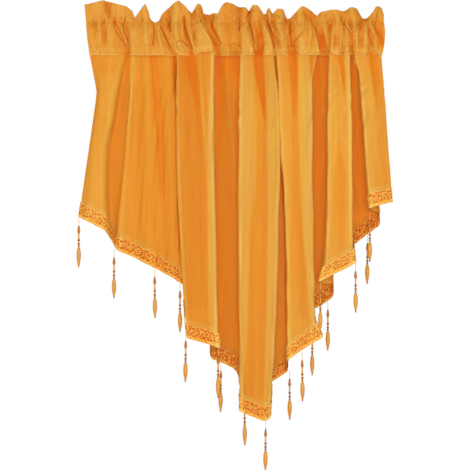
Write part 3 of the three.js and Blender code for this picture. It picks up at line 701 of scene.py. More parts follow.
# Creases pressed into the gathers: where each runs, as x and height, its half width, how deep it sinks (or is
# raised, if negative), how much painted shade it puts in the colour, and the sides with a painted highlight
# on the rim, if any
GATHER_CREASES = [
    ([(-8, 24), (-8, -30)], 9, 0, 0.36), ([(-178, 20), (-177, -30)], 6, 0, -0.08),
    ([(-178.5, 26), (-179, 4.5)], 1.6, 1.5, 0.45),
    ([(-185.5, 10.5), (-192.5, 5.5), (-197.5, 1.5), (-200, -2)], 0.77, 1, 0.35, 1),
    ([(-185.5, 2), (-185.5, -2)], 0.77, 1, 0.4), ([(-179, 1.5), (-177.5, -1.5)], 0.68, 0.75, 0.3),
    ([(-198.5, -1.5), (-199, -14.5), (-198, -33)], 1.6, 0.9, 0.28),
    ([(-193, -4.5), (-192.5, -30)], 2, -0.78, -0.29), ([(-184.5, -5.5), (-184.5, -28.5)], 2, 1, 0.24),
    ([(-179.5, -4.5), (-178.5, -16)], 1.8, -0.65, -0.22),
    ([(-169.5, -12), (-162, -23), (-154, -34)], 0.77, 1.5, 0.5, 1),
    ([(-155.5, 7), (-159.5, -6.5), (-157, -17), (-148, -34)], 0.77, 1.62, 0.5, -1, 1),
    ([(-142.5, -3), (-144, -20)], 2.5, -0.78, -0.22), ([(-131.5, -14.5), (-134, -38.5)], 2.2, 0.8, 0.22),
    ([(-123, -4.5), (-124.5, -33)], 1.2, -0.52, -0.22), ([(-118.5, -1.5), (-120.5, -30)], 1, -0.91, -0.45),
    ([(-116, -3), (-114.5, -17), (-116.5, -33)], 0.94, 1.25, 0.42),
    ([(-110.5, -5.5), (-110.5, -30)], 0.59, 0.62, 0.18),
    ([(-105.5, -4.5), (-99, -23), (-92.5, -35)], 0.68, 1.5, 0.45, -1),
    ([(-93, -1.5), (-91.5, -12.5)], 1.1, 1.5, 0.5), ([(-85, 4.5), (-83, -20)], 2, -0.78, -0.25),
    ([(-76, 7), (-73.5, -20)], 1.5, -0.78, -0.32),
    ([(-83.5, -32), (-81, -27), (-73.5, -27), (-66.5, -33.5)], 0.68, 1.25, 0.42),
    ([(-81.5, -33.5), (-77.5, -30), (-72.5, -31)], 1, -0.65, -0.36),
    ([(-72, 9), (-71, -8.5), (-66, -23), (-61, -37)], 1.1, 1.88, 0.5),
    ([(-67, -3), (-62.5, -23), (-58.5, -37)], 1, -1.04, -0.45),
    ([(-57, -13.5), (-57, -23)], 0.85, 1.12, 0.35), ([(-48, 3.5), (-48, 0)], 1.1, 1.5, 0.6),
    ([(-49, 0), (-43, -14.5), (-34.5, -24.5), (-29.5, -35)], 0.9, -1.04, -0.5),
    ([(-45.5, 1.5), (-40, -13), (-31.5, -23), (-27, -33)], 0.68, 1.38, 0.38),
    ([(-36, 8.5), (-36, -5.5), (-26, -23), (-18, -37)], 1, -1.04, -0.5),
    ([(-29.5, 8.5), (-32.5, -6.5), (-23.5, -23), (-19.5, -31.5)], 1.02, 1.62, 0.5),
    ([(-23, 1.5), (-20, -16)], 1.6, -0.65, -0.27), ([(-13.5, -4.5), (-12, -30)], 1.5, 0.5, 0.15),
    ([(-3.5, -7), (-4.5, -27)], 1.5, 0.4, 0.12), ([(3.5, -1.5), (4.5, -14.5)], 1, -0.65, -0.36),
    ([(-7, -34.5), (-0.5, -30), (8, -34.5)], 0.77, 1.12, 0.3), ([(6.5, -0.5), (7, -14.5)], 0.68, 1.25, 0.45),
    ([(6.5, 22), (6.5, 17)], 1.4, 1, 0.4), ([(5.5, 5.5), (8, 0), (13.5, -0.5)], 0.59, 0.88, 0.28),
    ([(21, 16), (16, 4.5)], 1.4, 1.5, 0.6), ([(21, -0.5), (16, -21.5)], 0.59, 0.75, 0.25),
    ([(21, -0.5), (27, -24.5), (33, -36)], 0.77, 1.5, 0.45, -1),
    ([(35.5, 5.5), (36.5, -19.5)], 2.2, 1.2, 0.42), ([(41, -4.5), (48, -21), (54, -36)], 0.9, -1.04, -0.5),
    ([(43.5, -4), (51.5, -18), (56.5, -35)], 0.68, 1.38, 0.4),
    ([(48.5, 17.5), (52, -0.5), (59, -14.5), (66, -25.5)], 0.8, -1.17, -0.54),
    ([(46, 12.5), (48.5, -6.5), (58, -23)], 0.68, 1.25, 0.42), ([(57, -6.5), (64, -19.5)], 0.59, 1.12, 0.36),
    ([(59, 9), (58, -5.5)], 1.4, 1.2, 0.42), ([(72.5, 5.5), (73, 0.5)], 1.6, 1.2, 0.5),
    ([(64.5, -10), (65, -38.5)], 0.59, 0.5, 0.16), ([(71, -7), (71, -33)], 0.59, 0.5, 0.14),
    ([(76, 3), (76, -16)], 1, -0.78, -0.36), ([(79.5, 2), (79.5, -14.5), (82, -34)], 0.85, 1.62, 0.5),
    ([(90, -6.5), (95, -3)], 0.68, 0.88, 0.3),
    ([(97.5, -14.5), (89, -23), (85.5, -29), (85, -36)], 0.85, 1.5, 0.45),
    ([(100, 13), (106, 5.5)], 3, 1.8, 0.6), ([(95, -24.5), (98, -36)], 2.5, -0.78, -0.32),
    ([(107, -1.5), (108, -14.5), (106.5, -38.5)], 1.1, -1.04, -0.45),
    ([(110.5, -1.5), (111.5, -17), (109.5, -36)], 0.68, 1, 0.28),
    ([(112.5, -7), (115.5, -23), (120.5, -41)], 0.9, -1.04, -0.5),
    ([(116, -8.5), (118.5, -24.5), (122.5, -38.5)], 0.68, 1.25, 0.38),
    ([(123.5, -18.5), (125.5, -34)], 2, 1.2, 0.42), ([(128, -4.5), (130.5, -31.5)], 1.2, -0.91, -0.4),
    ([(137, -4), (136, -12.5)], 1.8, 1.2, 0.42), ([(144, -23), (143, -34)], 1.8, 1.5, 0.5),
    ([(141, -26), (138.5, -38.5)], 0.9, -0.91, -0.45), ([(141.5, 11.5), (144, -0.5)], 0.68, 1.25, 0.42),
    ([(153.5, 9), (152, 0.5)], 0.85, 1.25, 0.45), ([(156.5, -1.5), (164.5, -13.5)], 0.94, 1.62, 0.5, 1),
    ([(154, -6.5), (156.5, -34)], 1.1, -0.78, -0.36),
    ([(157, -37), (158, -35), (161, -33.5), (164, -35), (166, -40)], 0.59, 1.12, 0.38),
    ([(168, -33.5), (169, -47.5)], 1.4, 1.4, 0.55), ([(179.5, -0.5), (179.5, -9)], 1.6, 1.3, 0.55),
    ([(172.5, -10), (172.5, -41.5)], 0.51, 0.62, 0.22), ([(174.5, -10), (175, -41.5)], 0.6, -0.52, -0.29),
    ([(177, -16), (177.5, -41.5)], 0.51, 0.62, 0.2), ([(180.5, -21.5), (181, -34.5)], 0.85, 0.75, 0.22),
    ([(187, -4.5), (187.5, -30)], 1.8, -0.78, -0.32),
    ([(191.5, -8.5), (191.5, -21), (197, -33.5)], 1.02, 1.25, 0.36),
    ([(196, -6.5), (202, -21), (209.5, -36.5)], 1, -1.04, -0.5),
    ([(204, -13), (209, -21.5), (212.5, -34.5)], 2, 1.4, 0.5), ([(202.5, 14.5), (204, 3)], 1.02, 1.12, 0.35),
    ([(184, 13), (184.5, 3)], 0.77, 0.88, 0.25), ([(129.5, 13), (131.5, 1.5)], 0.85, 1, 0.3),
    ([(119.5, 14.5), (122.5, 1.5)], 1.4, 0.8, 0.3), ([(88, 13), (87.5, 3)], 0.85, 1, 0.3),
    ([(-16.5, 20), (-12, 4.5)], 1.5, 0.5, 0.15), ([(-49.5, 20), (-51.5, 7)], 1.02, 0.75, 0.22),
    ([(-92.5, 16), (-91, 1.5)], 0.85, 0.88, 0.25), ([(-82.5, 21.5), (-80, 7)], 1.4, -0.65, -0.27),
]
# painted shade in broad creases, a painted shadow line in narrow ones, and painted highlights on their rims
BROAD_CREASE = 1.35
BROAD_TONE = 0.85
CREASE_TONE = 0.35
CREASE_SHADE = 2.2
RIM_OFFSET = 2.1
RIM_RAISED = 0.7
RIM_LIGHTER = 0.62
# the pocket's front and back: height, middle depth, and how far the folds reach
POCKET_PROFILE = [(-48, -6.6, 5.6), (-46, -7.0, 5.6), (-41, -9.0, 5.4), (-37, -10.2, 5.2), (-33, -11.2, 5.2),
                  (-23, -12.0, 5.6), (-12, -10.8, 5.2), (-5, -8.8, 4.8), (0, -6.2, 3.9)]
REAR_PROFILE = [(-48, 1.4, 6.2), (-46, 1.4, 6.2), (-41, 4.8, 4.0), (-37, 7.6, 2.6), (-33, 8.6, 1.9),
                (-23, 9.2, 1.7), (-12, 7.6, 1.8), (-5, 1.8, 2.6), (0, -4.8, 3.7)]
# the lower seam isn't quite level: x and how far it's pulled up
SEAM_PULL = [(-212, 0), (-54, 0), (-50, 4.5), (-31, 5), (-27, 0), (64, 0), (68, 1.2), (77, -1.8), (80, 0),
             (130, 0), (140, 1), (150, 0), (178, 1.2), (196, -1.8), (212, -3)]
PULLED_BELOW = 18
POCKET_HEIGHT = 46
POCKET_FOOT, CLOSE_ROWS_TOP = -47, -34
CLOSE_ROWS, WALL_ROWS, REAR_ROWS = 14, 31, 19
UPPER_TURNS, LOWER_TURNS = (0, 0.5), (0.62, 1)
ROUND_STEPS = np.linspace(0, 1, 5)
RIPPLES = drawn_waves(seed=21, count=6, shortest=3.5, longest=13, slant=0.06)
RIPPLE_HEIGHT, RIPPLE_AT_SEAM, RIPPLE_REACH = 0.10, 0.32, 7
COLUMN_RUN = 1.0
DEPTH_RUN = 2.4
FEWEST_COLUMNS, MOST_COLUMNS = 2, 14
SOFTER, MOST_SOFT = 1.1, 0.48
ROUND_SHARE, SIDE_SHARE = 0.7, 0.3
VALLEY_CURVE = 1.4
# painted shade in the gathers' valleys and painted light on their fronts
VALLEY_TONE = 0.54
RIDGE_TONE = -0.2
FOLD_TONE = 0.31
# painted light on the strip above the foot seam, partly for the doubled cloth there, and a painted highlight
# along the foot edge
STRIP_HEIGHT, STRIP_PALER, STRIP_UNEVEN, STRIP_WAVE, STRIP_EDGE = 9.5, 0.22, 1.1, 9, 3.5
EDGE_PALER = 0.4
folds = np.array(GATHERED_FOLDS)
# more columns where the gathers are wide
fold_widths, fold_depths = [np.abs(np.diff(part, axis=0)).max(axis=1)
                            for part in (folds[:, :3], folds[:, 3:6])]
fold_runs = (fold_widths + DEPTH_RUN * fold_depths) / COLUMN_RUN
side_steps = np.clip(fold_runs, FEWEST_COLUMNS, MOST_COLUMNS).astype(int)


def fold_tone(places, stands):
    # painted shade in the valleys between the gathers, and a little painted light on their fronts
    stand = np.stack([np.interp(places, np.arange(len(folds)), row) for row in stands])
    return FOLD_TONE + VALLEY_TONE * np.maximum(-stand, 0) ** VALLEY_CURVE + RIDGE_TONE * np.maximum(stand, 0)


def soft_columns(x, y, soft):
    # x and y are rows by corners; each inner corner becomes a short curve and each side gets a few columns
    corners = np.stack([x, y])
    count = corners.shape[2]
    made, places = [], []
    curves = [None] * count
    for k in range(1, count - 1):
        middle, before, after = corners[:, :, k], corners[:, :, k - 1], corners[:, :, k + 1]
        ends = []
        for side in (before, after):
            length = np.maximum(np.hypot(*(middle - side)), 1e-6)
            ends.append(middle + (side - middle) * np.minimum(soft[k] * SOFTER, MOST_SOFT * length) / length)
        curves[k] = (ends[0], middle, ends[1])
    for k in range(count):
        if curves[k] is None:
            made.append(corners[:, :, k])
            places.append(float(k))
        else:
            for t in ROUND_STEPS:
                made.append(curved(*curves[k], t))
                places.append(k + (t - 0.5) * ROUND_SHARE)
        if k + 1 < count:
            start = made[-1]
            end = curves[k + 1][0] if curves[k + 1] is not None else corners[:, :, k + 1]
            for n in range(side_steps[k]):
                share = (n + 1) / (side_steps[k] + 1)
                made.append(start + (end - start) * share)
                places.append(k + ROUND_SHARE / 2 + SIDE_SHARE * share)
    return np.stack(made, axis=2), np.array(places)


def creased(points, tone, shade, lines):
    # presses each line into the cloth: a broad one gets painted shade in its colour there, a narrow one a
    # painted shadow line, and the rims beside it a painted highlight
    x, z = points[..., 0].copy(), points[..., 2].copy()
    for places, half_width, depth, deeper, *rims in lines:
        narrow = deeper > 0 and half_width < BROAD_CREASE
        copies = [(0, depth, deeper * (CREASE_TONE if narrow else BROAD_TONE))]
        copies += [(side * RIM_OFFSET * half_width, -RIM_RAISED * depth, -RIM_LIGHTER) for side in rims]
        for offset, sink, colour in copies:
            nearest = np.full(x.shape, 1e9)
            for (x0, z0), (x1, z1) in zip(places, places[1:]):
                reach = (x1 - x0) ** 2 + (z1 - z0) ** 2
                t = np.clip(((x - offset - x0) * (x1 - x0) + (z - z0) * (z1 - z0)) / reach, 0, 1)
                away = np.hypot(x - offset - x0 - t * (x1 - x0), z - z0 - t * (z1 - z0))
                nearest = np.minimum(nearest, away)
            near = np.exp(-(nearest / half_width) ** 2)
            points[..., 1] += sink * near
            tone += colour * near
            if narrow and offset == 0:
                shade += CREASE_SHADE * deeper * near


def pocket_wall(heights, profile, ripple):
    # one wall of the rod pocket, from its folds: points, run, the columns' places and tone
    heights = heights[:, None]
    middle, reach = read_off(profile, heights, 1), read_off(profile, heights, 2)
    down = -heights / POCKET_HEIGHT
    # x runs on one curve through its three places
    a, b, c = folds[:, 0][None, :], folds[:, 1][None, :], folds[:, 2][None, :]
    x = a * (1 - down) * (1 - 2 * down) + b * 4 * down * (1 - down) + c * down * (2 * down - 1)
    upper, lower = ramp(down, *UPPER_TURNS), ramp(down, *LOWER_TURNS)
    stand = folds[:, 3] + (folds[:, 4] - folds[:, 3]) * upper + (folds[:, 5] - folds[:, 4]) * lower
    line, places = soft_columns(x, middle - stand * reach, folds[:, 6])
    normal = fold_normals(line)
    width = cloth_run(line)
    push = 0
    near = np.exp(-np.minimum(-heights, heights + POCKET_HEIGHT) / RIPPLE_REACH)
    for wave, phase, slant in RIPPLES:
        swell = np.sin(width * FULL_TURN / wave + phase + slant * heights * FULL_TURN)
        push = push + ripple * (RIPPLE_HEIGHT + RIPPLE_AT_SEAM * near) * swell
    line = line + normal * push
    z = heights + read_off(SEAM_PULL, line[0]) * ramp(-heights, PULLED_BELOW, POCKET_HEIGHT)
    # painted light on the strip above the foot seam, partly the doubled cloth there, and a painted highlight
    # along the foot edge
    strip_top = POCKET_HEIGHT - STRIP_HEIGHT + STRIP_UNEVEN * np.sin(line[0] / STRIP_WAVE)
    tone = fold_tone(places, stand) - STRIP_PALER * ramp(-heights - strip_top, -STRIP_EDGE, STRIP_EDGE)
    tone = tone - EDGE_PALER * (heights < 1 - POCKET_HEIGHT)
    return np.stack([line[0], line[1], z], axis=-1), width, places, tone


# the front's rows stand closer near its foot
close_heights = np.linspace(POCKET_FOOT, CLOSE_ROWS_TOP, CLOSE_ROWS)
front_heights = np.unique(np.r_[close_heights, np.linspace(CLOSE_ROWS_TOP, 0, WALL_ROWS)].round(4))
rear_heights = np.linspace(0, POCKET_FOOT, REAR_ROWS)
front_wall, front_width, fold_places, pocket_tone = pocket_wall(front_heights, POCKET_PROFILE, 1.0)
rear_wall, _, _, rear_tone = pocket_wall(rear_heights, REAR_PROFILE, 0.5)

# the ruffle stands on the upper stitch
RUFFLE_ROWS = 23
RUFFLE_FAN = 0.012
FOOT_Y, RUFFLE_LEAN = -6.2, 3.4
FOOT_DEPTH, RUFFLE_DEPTH, RUFFLE_FLARE = 3.9, 4.6, 0.8
RUFFLE_SOFTER = 1.3
TURNED_AT = 0.55
RUFFLE_WAVES = drawn_waves(seed=5, count=7, shortest=4, longest=17, slant=0.5)
WAVE_HEIGHT = 0.22
# painted light towards the ruffle's top
TIP_PALER = 0.12
shares = np.linspace(0, 1, RUFFLE_ROWS)[1:, None]
top_x = folds[:, 0] * (1 + RUFFLE_FAN * (folds[:, 0] < 0))
ruffle_x = folds[:, 0][None, :] + (top_x - folds[:, 0])[None, :] * shares
turning = ramp(shares, 0, TURNED_AT)
ruffle_stand = folds[:, 3] * (1 - turning) + read_off(RUFFLE_TOP, top_x, 2) * turning
ruffle_reach = FOOT_DEPTH + RUFFLE_DEPTH * shares ** RUFFLE_FLARE
ruffle_y = FOOT_Y + RUFFLE_LEAN * shares - ruffle_stand * ruffle_reach
ruffle_line, _ = soft_columns(ruffle_x, ruffle_y, folds[:, 6] * RUFFLE_SOFTER)
ruffle_normal = fold_normals(ruffle_line)
ruffle_width = cloth_run(ruffle_line)
for wave, phase, slant in RUFFLE_WAVES:
    lift = WAVE_HEIGHT * np.sin(ruffle_width * FULL_TURN / wave + phase + slant * shares)
    ruffle_line = ruffle_line + ruffle_normal * lift * (0.5 + shares)
tops = read_off(RUFFLE_TOP, ruffle_line[0][-1])
ruffle_front = np.stack([ruffle_line[0], ruffle_line[1], shares * tops[None, :]], axis=-1)
# painted light: the ruffle is paler towards its top
ruffle_tone = fold_tone(fold_places, ruffle_stand) - TIP_PALER * shares

# the fine gathers on the upper stitch, small dents, and the creases of the folds, on the pocket's front and
# the ruffle, drawn within these limits; a gather gets painted shade where it sinks and painted light where it
# is raised
GATHERS = 130
DENTS = 90
GATHERED_X = (-206, 208)
GATHER_TONE = 0.45
STITCH_WAVER, WAVER_REACH = 0.7, 7
LONG_WAVER, WAVER_START, SHORT_WAVER, SHORT_SHARE = 7.3, 0.8, 3.1, 0.7
draw = np.random.default_rng(17).uniform
gather_lines = []
for _ in range(GATHERS):
    x, low, high, slant = draw(*GATHERED_X), draw(-13, -3), draw(0.5, 8), draw(-2, 2)
    sink, half_width = draw(-0.45, 0.7), draw(0.5, 1.0)
    places = [(x - slant, low), (x, 0), (x + slant, high)]
    gather_lines.append((places, half_width, sink, GATHER_TONE * sink))
for _ in range(DENTS):
    x, height, run, slant = draw(*GATHERED_X), draw(-42, 18), draw(3, 11), draw(-3, 3)
    sink, light, half_width = draw(-0.8, 0.8), draw(-0.34, 0.22), draw(0.7, 2.4)
    gather_lines.append(([(x, height + run), (x + slant, height - run)], half_width, sink, light))
pocket_shade, ruffle_shade = 0 * pocket_tone, 0 * ruffle_tone
for points, tone, shade in ((front_wall, pocket_tone, pocket_shade),
                            (ruffle_front, ruffle_tone, ruffle_shade)):
    creased(points, tone, shade, GATHER_CREASES + gather_lines)
    # the stitch line wavers a little where it draws the gathers in
    waver = np.sin(points[..., 0] / LONG_WAVER + WAVER_START)
    waver = waver + SHORT_SHARE * np.sin(points[..., 0] / SHORT_WAVER)
    points[..., 2] += STITCH_WAVER * waver * np.exp(-np.abs(points[..., 2]) / WAVER_REACH)

# over the top fold and down behind the ruffle, on every second row
DEEPEST_GATHER = 1.2
FOLD_HEIGHT, FOLD_BACK = 0.35, 0.2
GAP_AT_TOP, GAP_BELOW = 0.35, 1.25
behind = -ruffle_normal[:, ::-1][:, 1::2] * (GAP_AT_TOP + GAP_BELOW * (1 - shares[::-1][1::2]))
back_rows = ruffle_front[::-1][1::2].copy()
over = ruffle_front[-1:].copy()
over[:, :, 2] += FOLD_HEIGHT
for axis in (0, 1):
    back_rows[:, :, axis] += behind[axis]
    over[:, :, axis] -= ruffle_normal[axis][-1:] * FOLD_BACK
heading_grid = np.concatenate([front_wall, ruffle_front, over, back_rows, rear_wall])
heading_tone, heading_shade = [
    np.clip(np.concatenate([pocket, ruffle, ruffle[-1:], ruffle[::-1][1::2], rear]), low, high)
    for pocket, ruffle, rear, low, high in (
        (pocket_tone, ruffle_tone, rear_tone, TONE_OF_RIM, DEEPEST_GATHER),
        (pocket_shade, ruffle_shade, 0 * rear_tone, 0, 1))]
path = np.cumsum(np.r_[0, np.linalg.norm(np.diff(heading_grid, axis=0), axis=2).mean(axis=1)])
heading_uv = np.stack(np.broadcast_arrays(front_width[0][None, :], path[:, None]), axis=-1)
heading_mesh = smooth_mesh("heading_cloth", heading_grid, grid_faces(*heading_tone.shape), heading_uv,
                           tone=heading_tone, shade=heading_shade)
heading = fitted("heading_cloth", heading_mesh, voile, "heading")


# The braid. An openwork lace trim, 21 mm wide, sewn over the face of the hem: a narrow edge above, a row of
# small worked flowers on a net, and a plain band below. It turns in and out with the pleats.
BRAID_HEIGHT = 21
BRAID_BELOW = 0.5
NET_LIFT = 1.0
BAND_LIFT = 1.5
BAND_CROWN = 0.5
LOWER_BAND = 4.5
UPPER_BAND = 1.8
NET_UNDER, NET_OVER = 1, 0.6
NET_ROWS, LOWER_ROWS, UPPER_BAND_ROWS = 10, 5, 4
# the net is painted darker than the bands, as painted shade seen through its open holes
NET_TONE, LOWER_TONE, UPPER_TONE = 0.6, 0.25, 0.2
# painted shade: the braid takes a share of the panel's painted fold shade
FOLD_SHOWS, UNFOLDED_TONE = 0.5, 0.3
HEM_STEP, HEM_REACH = 1.5, 30.1
hem_heights = np.arange(-HEM_STEP, HEM_REACH, HEM_STEP)
# the hem's surface on a fine grid: rows by height above the hem's edge, columns along the cloth
hem_points, hem_widths, hem_tones = folded_cloth(hem_line - hem_heights[:, None])
hem_x = hem_widths[1]
# the braid takes a share of the panel's painted fold shade, darker in the deep folds
hem_fold_shade = FOLD_SHOWS * (hem_tones[1] - UNFOLDED_TONE)
hem_slope = np.gradient(hems, hem_x)


def facing(points):
    # which way the cloth faces along each row of points, seen from above
    along = np.gradient(points[..., :2], axis=-2)
    along /= np.maximum(np.linalg.norm(along, axis=-1, keepdims=True), TINY)
    return np.stack([along[..., 1], -along[..., 0]], axis=-1)


hem_facing = facing(hem_points)


def on_hem(along, above, lift):
    # where a point is that is given by its run along the hem, its height above the hem's edge and its lift
    column = np.interp(along, hem_x, np.arange(len(hem_x)))
    c = np.clip(column.astype(int), 0, len(hem_x) - 2)
    u = column - c
    row = np.clip((above - hem_heights[0]) / HEM_STEP, 0, len(hem_heights) - 1.001)
    r = row.astype(int)
    v = row - r
    place, outwards = 0, 0
    for cc, wc in ((c, 1 - u), (c + 1, u)):
        for rr, wr in ((r, 1 - v), (r + 1, v)):
            place = place + hem_points[rr, cc] * (wc * wr)[..., None]
            outwards = outwards + hem_facing[rr, cc] * (wc * wr)[..., None]
    place[..., :2] += outwards * lift[..., None]
    return place


def joined_mesh(name, blocks):
    # blocks are (points, faces, uv for each point, tone); made into one mesh
    faces, tones, start = [], [], 0
    for points, block_faces, _, tone in blocks:
        faces += [tuple(i + start for i in face) for face in block_faces]
        count = points.size // 3
        tones.append(np.broadcast_to(tone, (count,)))
        start += count
    points = np.concatenate([block[0].reshape(-1, 3) for block in blocks])
    uvs = np.concatenate([block[2].reshape(-1, 2) for block in blocks])
    return smooth_mesh(name, points, faces, uvs, tone=np.concatenate(tones))


blocks = []
for low, high, lift, rows, band_tone in (
    (LOWER_BAND - NET_UNDER, BRAID_HEIGHT - UPPER_BAND + NET_OVER, NET_LIFT, NET_ROWS, NET_TONE),
    (0, LOWER_BAND, BAND_LIFT, LOWER_ROWS, LOWER_TONE),
    (BRAID_HEIGHT - UPPER_BAND, BRAID_HEIGHT, BAND_LIFT, UPPER_BAND_ROWS, UPPER_TONE),
):
    heights = np.linspace(low, high, rows)[:, None]
    along = np.broadcast_to(hem_x[None, :], (rows, len(hem_x)))
    above = heights - BRAID_BELOW + 0 * along
    crown = lift + BAND_CROWN * np.sin(np.pi * (heights - low) / (high - low)) + 0 * along
    blocks.append((on_hem(along, above, crown), grid_faces(rows, len(hem_x)),
                   np.stack([along, above], axis=-1), np.tile(band_tone + hem_fold_shade, rows)))
lace_mesh = joined_mesh("braid_lace", blocks)

# the worked flowers: five raised petals round a ring, with small curls between one flower and the next
FLOWER_PITCH = 11.5
FLOWER_RADIUS = 4.4
FLOWER_UP = 11.8
STEEPEST = 1.2
FLAT_SIZE, SLOPED_SIZE = 0.55, 0.45
PETALS = 5
PETAL_OUT, PETAL_LONG, PETAL_WIDE = 0.62, 0.4, 0.36
BUD = dict(out=0.2, long=1.3, wide=0.8, height=0.6, lift=0.3)
SPOT = dict(out=0, long=1.0, wide=0.7, height=0.1, lift=0.55)
MIDDLE = dict(out=0, long=0.8, wide=0.8, height=0.1, lift=1.5)
SPOTS = 7
FLOWERS_OVER_BAND, FLOWERS_OVER_EDGE = 2, 0.4
END_CLEAR = 0.3
WORKED_TONES = (0.1, 0.5)
PETAL_RINGS = 3
PETAL_SIDES = 9
PETAL_TAPER = 0.25
CORD_SIDES = 5


def around(reach, angle):
    return reach * math.cos(angle), reach * math.sin(angle)


def petal(centre, turn, out, long, wide, height, lift):
    # a small padded petal: rings of points round its middle, in the plane of the braid
    a0, b0 = centre
    lift = NET_LIFT + lift
    points = []
    for ring in range(PETAL_RINGS):
        share = 1 - ring / PETAL_RINGS
        for side in range(PETAL_SIDES):
            angle = 2 * math.pi * side / PETAL_SIDES
            p = out + math.cos(angle) * long * share
            q = math.sin(angle) * wide * share * (1 + PETAL_TAPER * math.cos(angle))
            points.append((a0 + p * math.cos(turn) - q * math.sin(turn),
                           b0 + p * math.sin(turn) + q * math.cos(turn),
                           lift + height * math.sqrt(max(0, 1 - share * share))))
    points.append((a0 + out * math.cos(turn), b0 + out * math.sin(turn), lift + height))
    last = (PETAL_RINGS - 1) * PETAL_SIDES
    tip = [(last + k, len(points) - 1, last + (k + 1) % PETAL_SIDES) for k in range(PETAL_SIDES)]
    return np.array(points), grid_faces(PETAL_RINGS, PETAL_SIDES, wrap=True) + tip


def cord_ring(centre, radius, thick, lift, sides=12, opened=1.0, turn=0.0):
    # a ring of cord laid on the net, or the part of one that opened says
    gaps = sides if opened == 1 else sides - 1
    lift = NET_LIFT + lift
    points = []
    for k in range(sides):
        angle = turn + opened * 2 * math.pi * k / gaps
        for j in range(CORD_SIDES):
            t = 2 * math.pi * j / CORD_SIDES
            a, b = around(radius + thick * math.cos(t), angle)
            points.append((centre[0] + a, centre[1] + b, lift + thick * (1 + math.sin(t))))
    faces = grid_faces(gaps + 1, CORD_SIDES, wrap=True)
    return np.array(points), [tuple(i % len(points) for i in face) for face in faces]


draw = np.random.default_rng(3).uniform
length = hem_x[-1]
count = int(length / FLOWER_PITCH)
blocks = []
for n in range(count):
    along = (n + 0.5) * length / count
    rise = math.atan(np.clip(np.interp(along, hem_x, hem_slope), -STEEPEST, STEEPEST))
    shrink = FLAT_SIZE + SLOPED_SIZE * math.cos(rise)
    first_turn = draw(0, 1.2)
    size = FLOWER_RADIUS * shrink * draw(0.93, 1.05)
    parts = []
    for k in range(PETALS):
        turn = first_turn + k * 2 * math.pi / PETALS
        parts.append((petal((0, 0), turn, size * PETAL_OUT, size * PETAL_LONG, size * PETAL_WIDE, height=0.8,
                            lift=0.25), draw(0.0, 0.35)))
    parts.append((cord_ring((0, 0), size * 0.24, thick=0.35, lift=0.9), draw(0.1, 0.4)))
    side = 1 if n % 2 else -1
    gap = length / count / 2 / math.cos(rise)
    parts.append((cord_ring((gap, 1.6 * side * shrink), size * 0.38, thick=0.42, lift=0.4, opened=0.72,
                            turn=0.6 * side), draw(*WORKED_TONES)))
    parts.append((cord_ring((gap, -2.6 * side * shrink), size * 0.27, thick=0.38, lift=0.4, sides=10),
                  draw(*WORKED_TONES)))
    for end in (-1, 1):
        parts.append((petal((gap, end * (size + 0.8)), end * math.pi / 2, **BUD), draw(*WORKED_TONES)))
    # painted shade: dark spots round the flower, between its petals and at its middle, where the open holes
    # would show shaded cloth
    for _ in range(SPOTS):
        angle = draw(*ANY_ANGLE)
        parts.append((petal(around(size * draw(1.0, 1.5), angle), angle, **SPOT), 1.0))
    for k in range(PETALS):
        angle = first_turn + (k + 0.5) * 2 * math.pi / PETALS
        parts.append((petal(around(size * PETAL_OUT, angle), angle, out=0, long=size * PETAL_WIDE, wide=0.62,
                            height=0.1, lift=1.05), 0.95))
    parts.append((petal((0, 0), 0, **MIDDLE), 0.9))
    for (flat_points, faces), tone in parts:
        # the flat a, b plane is turned along the hem's slope and laid on the cloth
        a, b = flat_points[:, 0], flat_points[:, 1]
        run = np.clip(along + a * math.cos(rise) + b * math.sin(rise), END_CLEAR, length - END_CLEAR)
        down = a * math.sin(rise) - b * math.cos(rise)
        above = np.interp(run, hem_x, hems) - (np.interp(along, hem_x, hems) - FLOWER_UP + down)
        above = np.clip(above, LOWER_BAND - FLOWERS_OVER_BAND, BRAID_HEIGHT + FLOWERS_OVER_EDGE)
        blocks.append((on_hem(run, above - BRAID_BELOW, flat_points[:, 2]), faces,
                       np.stack([run, above], axis=-1), tone + np.interp(run, hem_x, hem_fold_shade)))
flowers_mesh = joined_mesh("braid_flowers", blocks)

# lace thread: pale and ribbed where it's worked, with painted shade where the net is open and on the braid in
# the deep folds
LACE_PALE = (0.96, 0.62, 0.14, 1)
LACE_MID = (0.88, 0.325, 0.010, 1)
LACE_SHADE = (0.58, 0.082, 0.001, 1)
lace = bpy.data.materials.new("lace")
lace.use_nodes = True
tree = lace.node_tree
uv = node(tree, "UVMap", {}, uv_map="cloth").outputs[0]
worked_and_shaded = painted_on(tree, "tone")
tufts = node(tree, "TexNoise", {"Scale": 420, "Detail": 2, "Vector": uv})
speck = node(tree, "MapRange", {"From Min": 0.35, "From Max": 0.65, "To Min": -0.8, "To Max": 0.95,
                                "Value": tufts.outputs[0]})
level = math_node(tree, "ADD", worked_and_shaded, math_node(tree, "MULTIPLY", speck.outputs[0], worked_and_shaded))
ribs = node(tree, "TexWave", {"Scale": 380, "Distortion": 3, "Vector": uv})
relief = node(tree, "Bump", {"Strength": 0.35, "Distance": 0.0004, "Height": ribs.outputs["Fac"]})
thread = tree.nodes["Principled BSDF"].inputs
thread["Roughness"].default_value = 0.5
thread["Specular IOR Level"].default_value = 0.2
tree.links.new(coloured(tree, level, LACE_PALE, LACE_SHADE, [(0.55, LACE_MID)]), thread["Base Color"])
tree.links.new(relief.outputs[0], thread["Normal"])
braid = fitted("braid_lace", lace_mesh, lace, "braid")
flowers = fitted("braid_flowers", flowers_mesh, lace, "braid")


# The bead drops. Seventeen short strings hang from the hem on pale thread: a teardrop bead, a tube, a dark
# rondelle, a small bead, and a long satin spindle that ends in a dark tip.

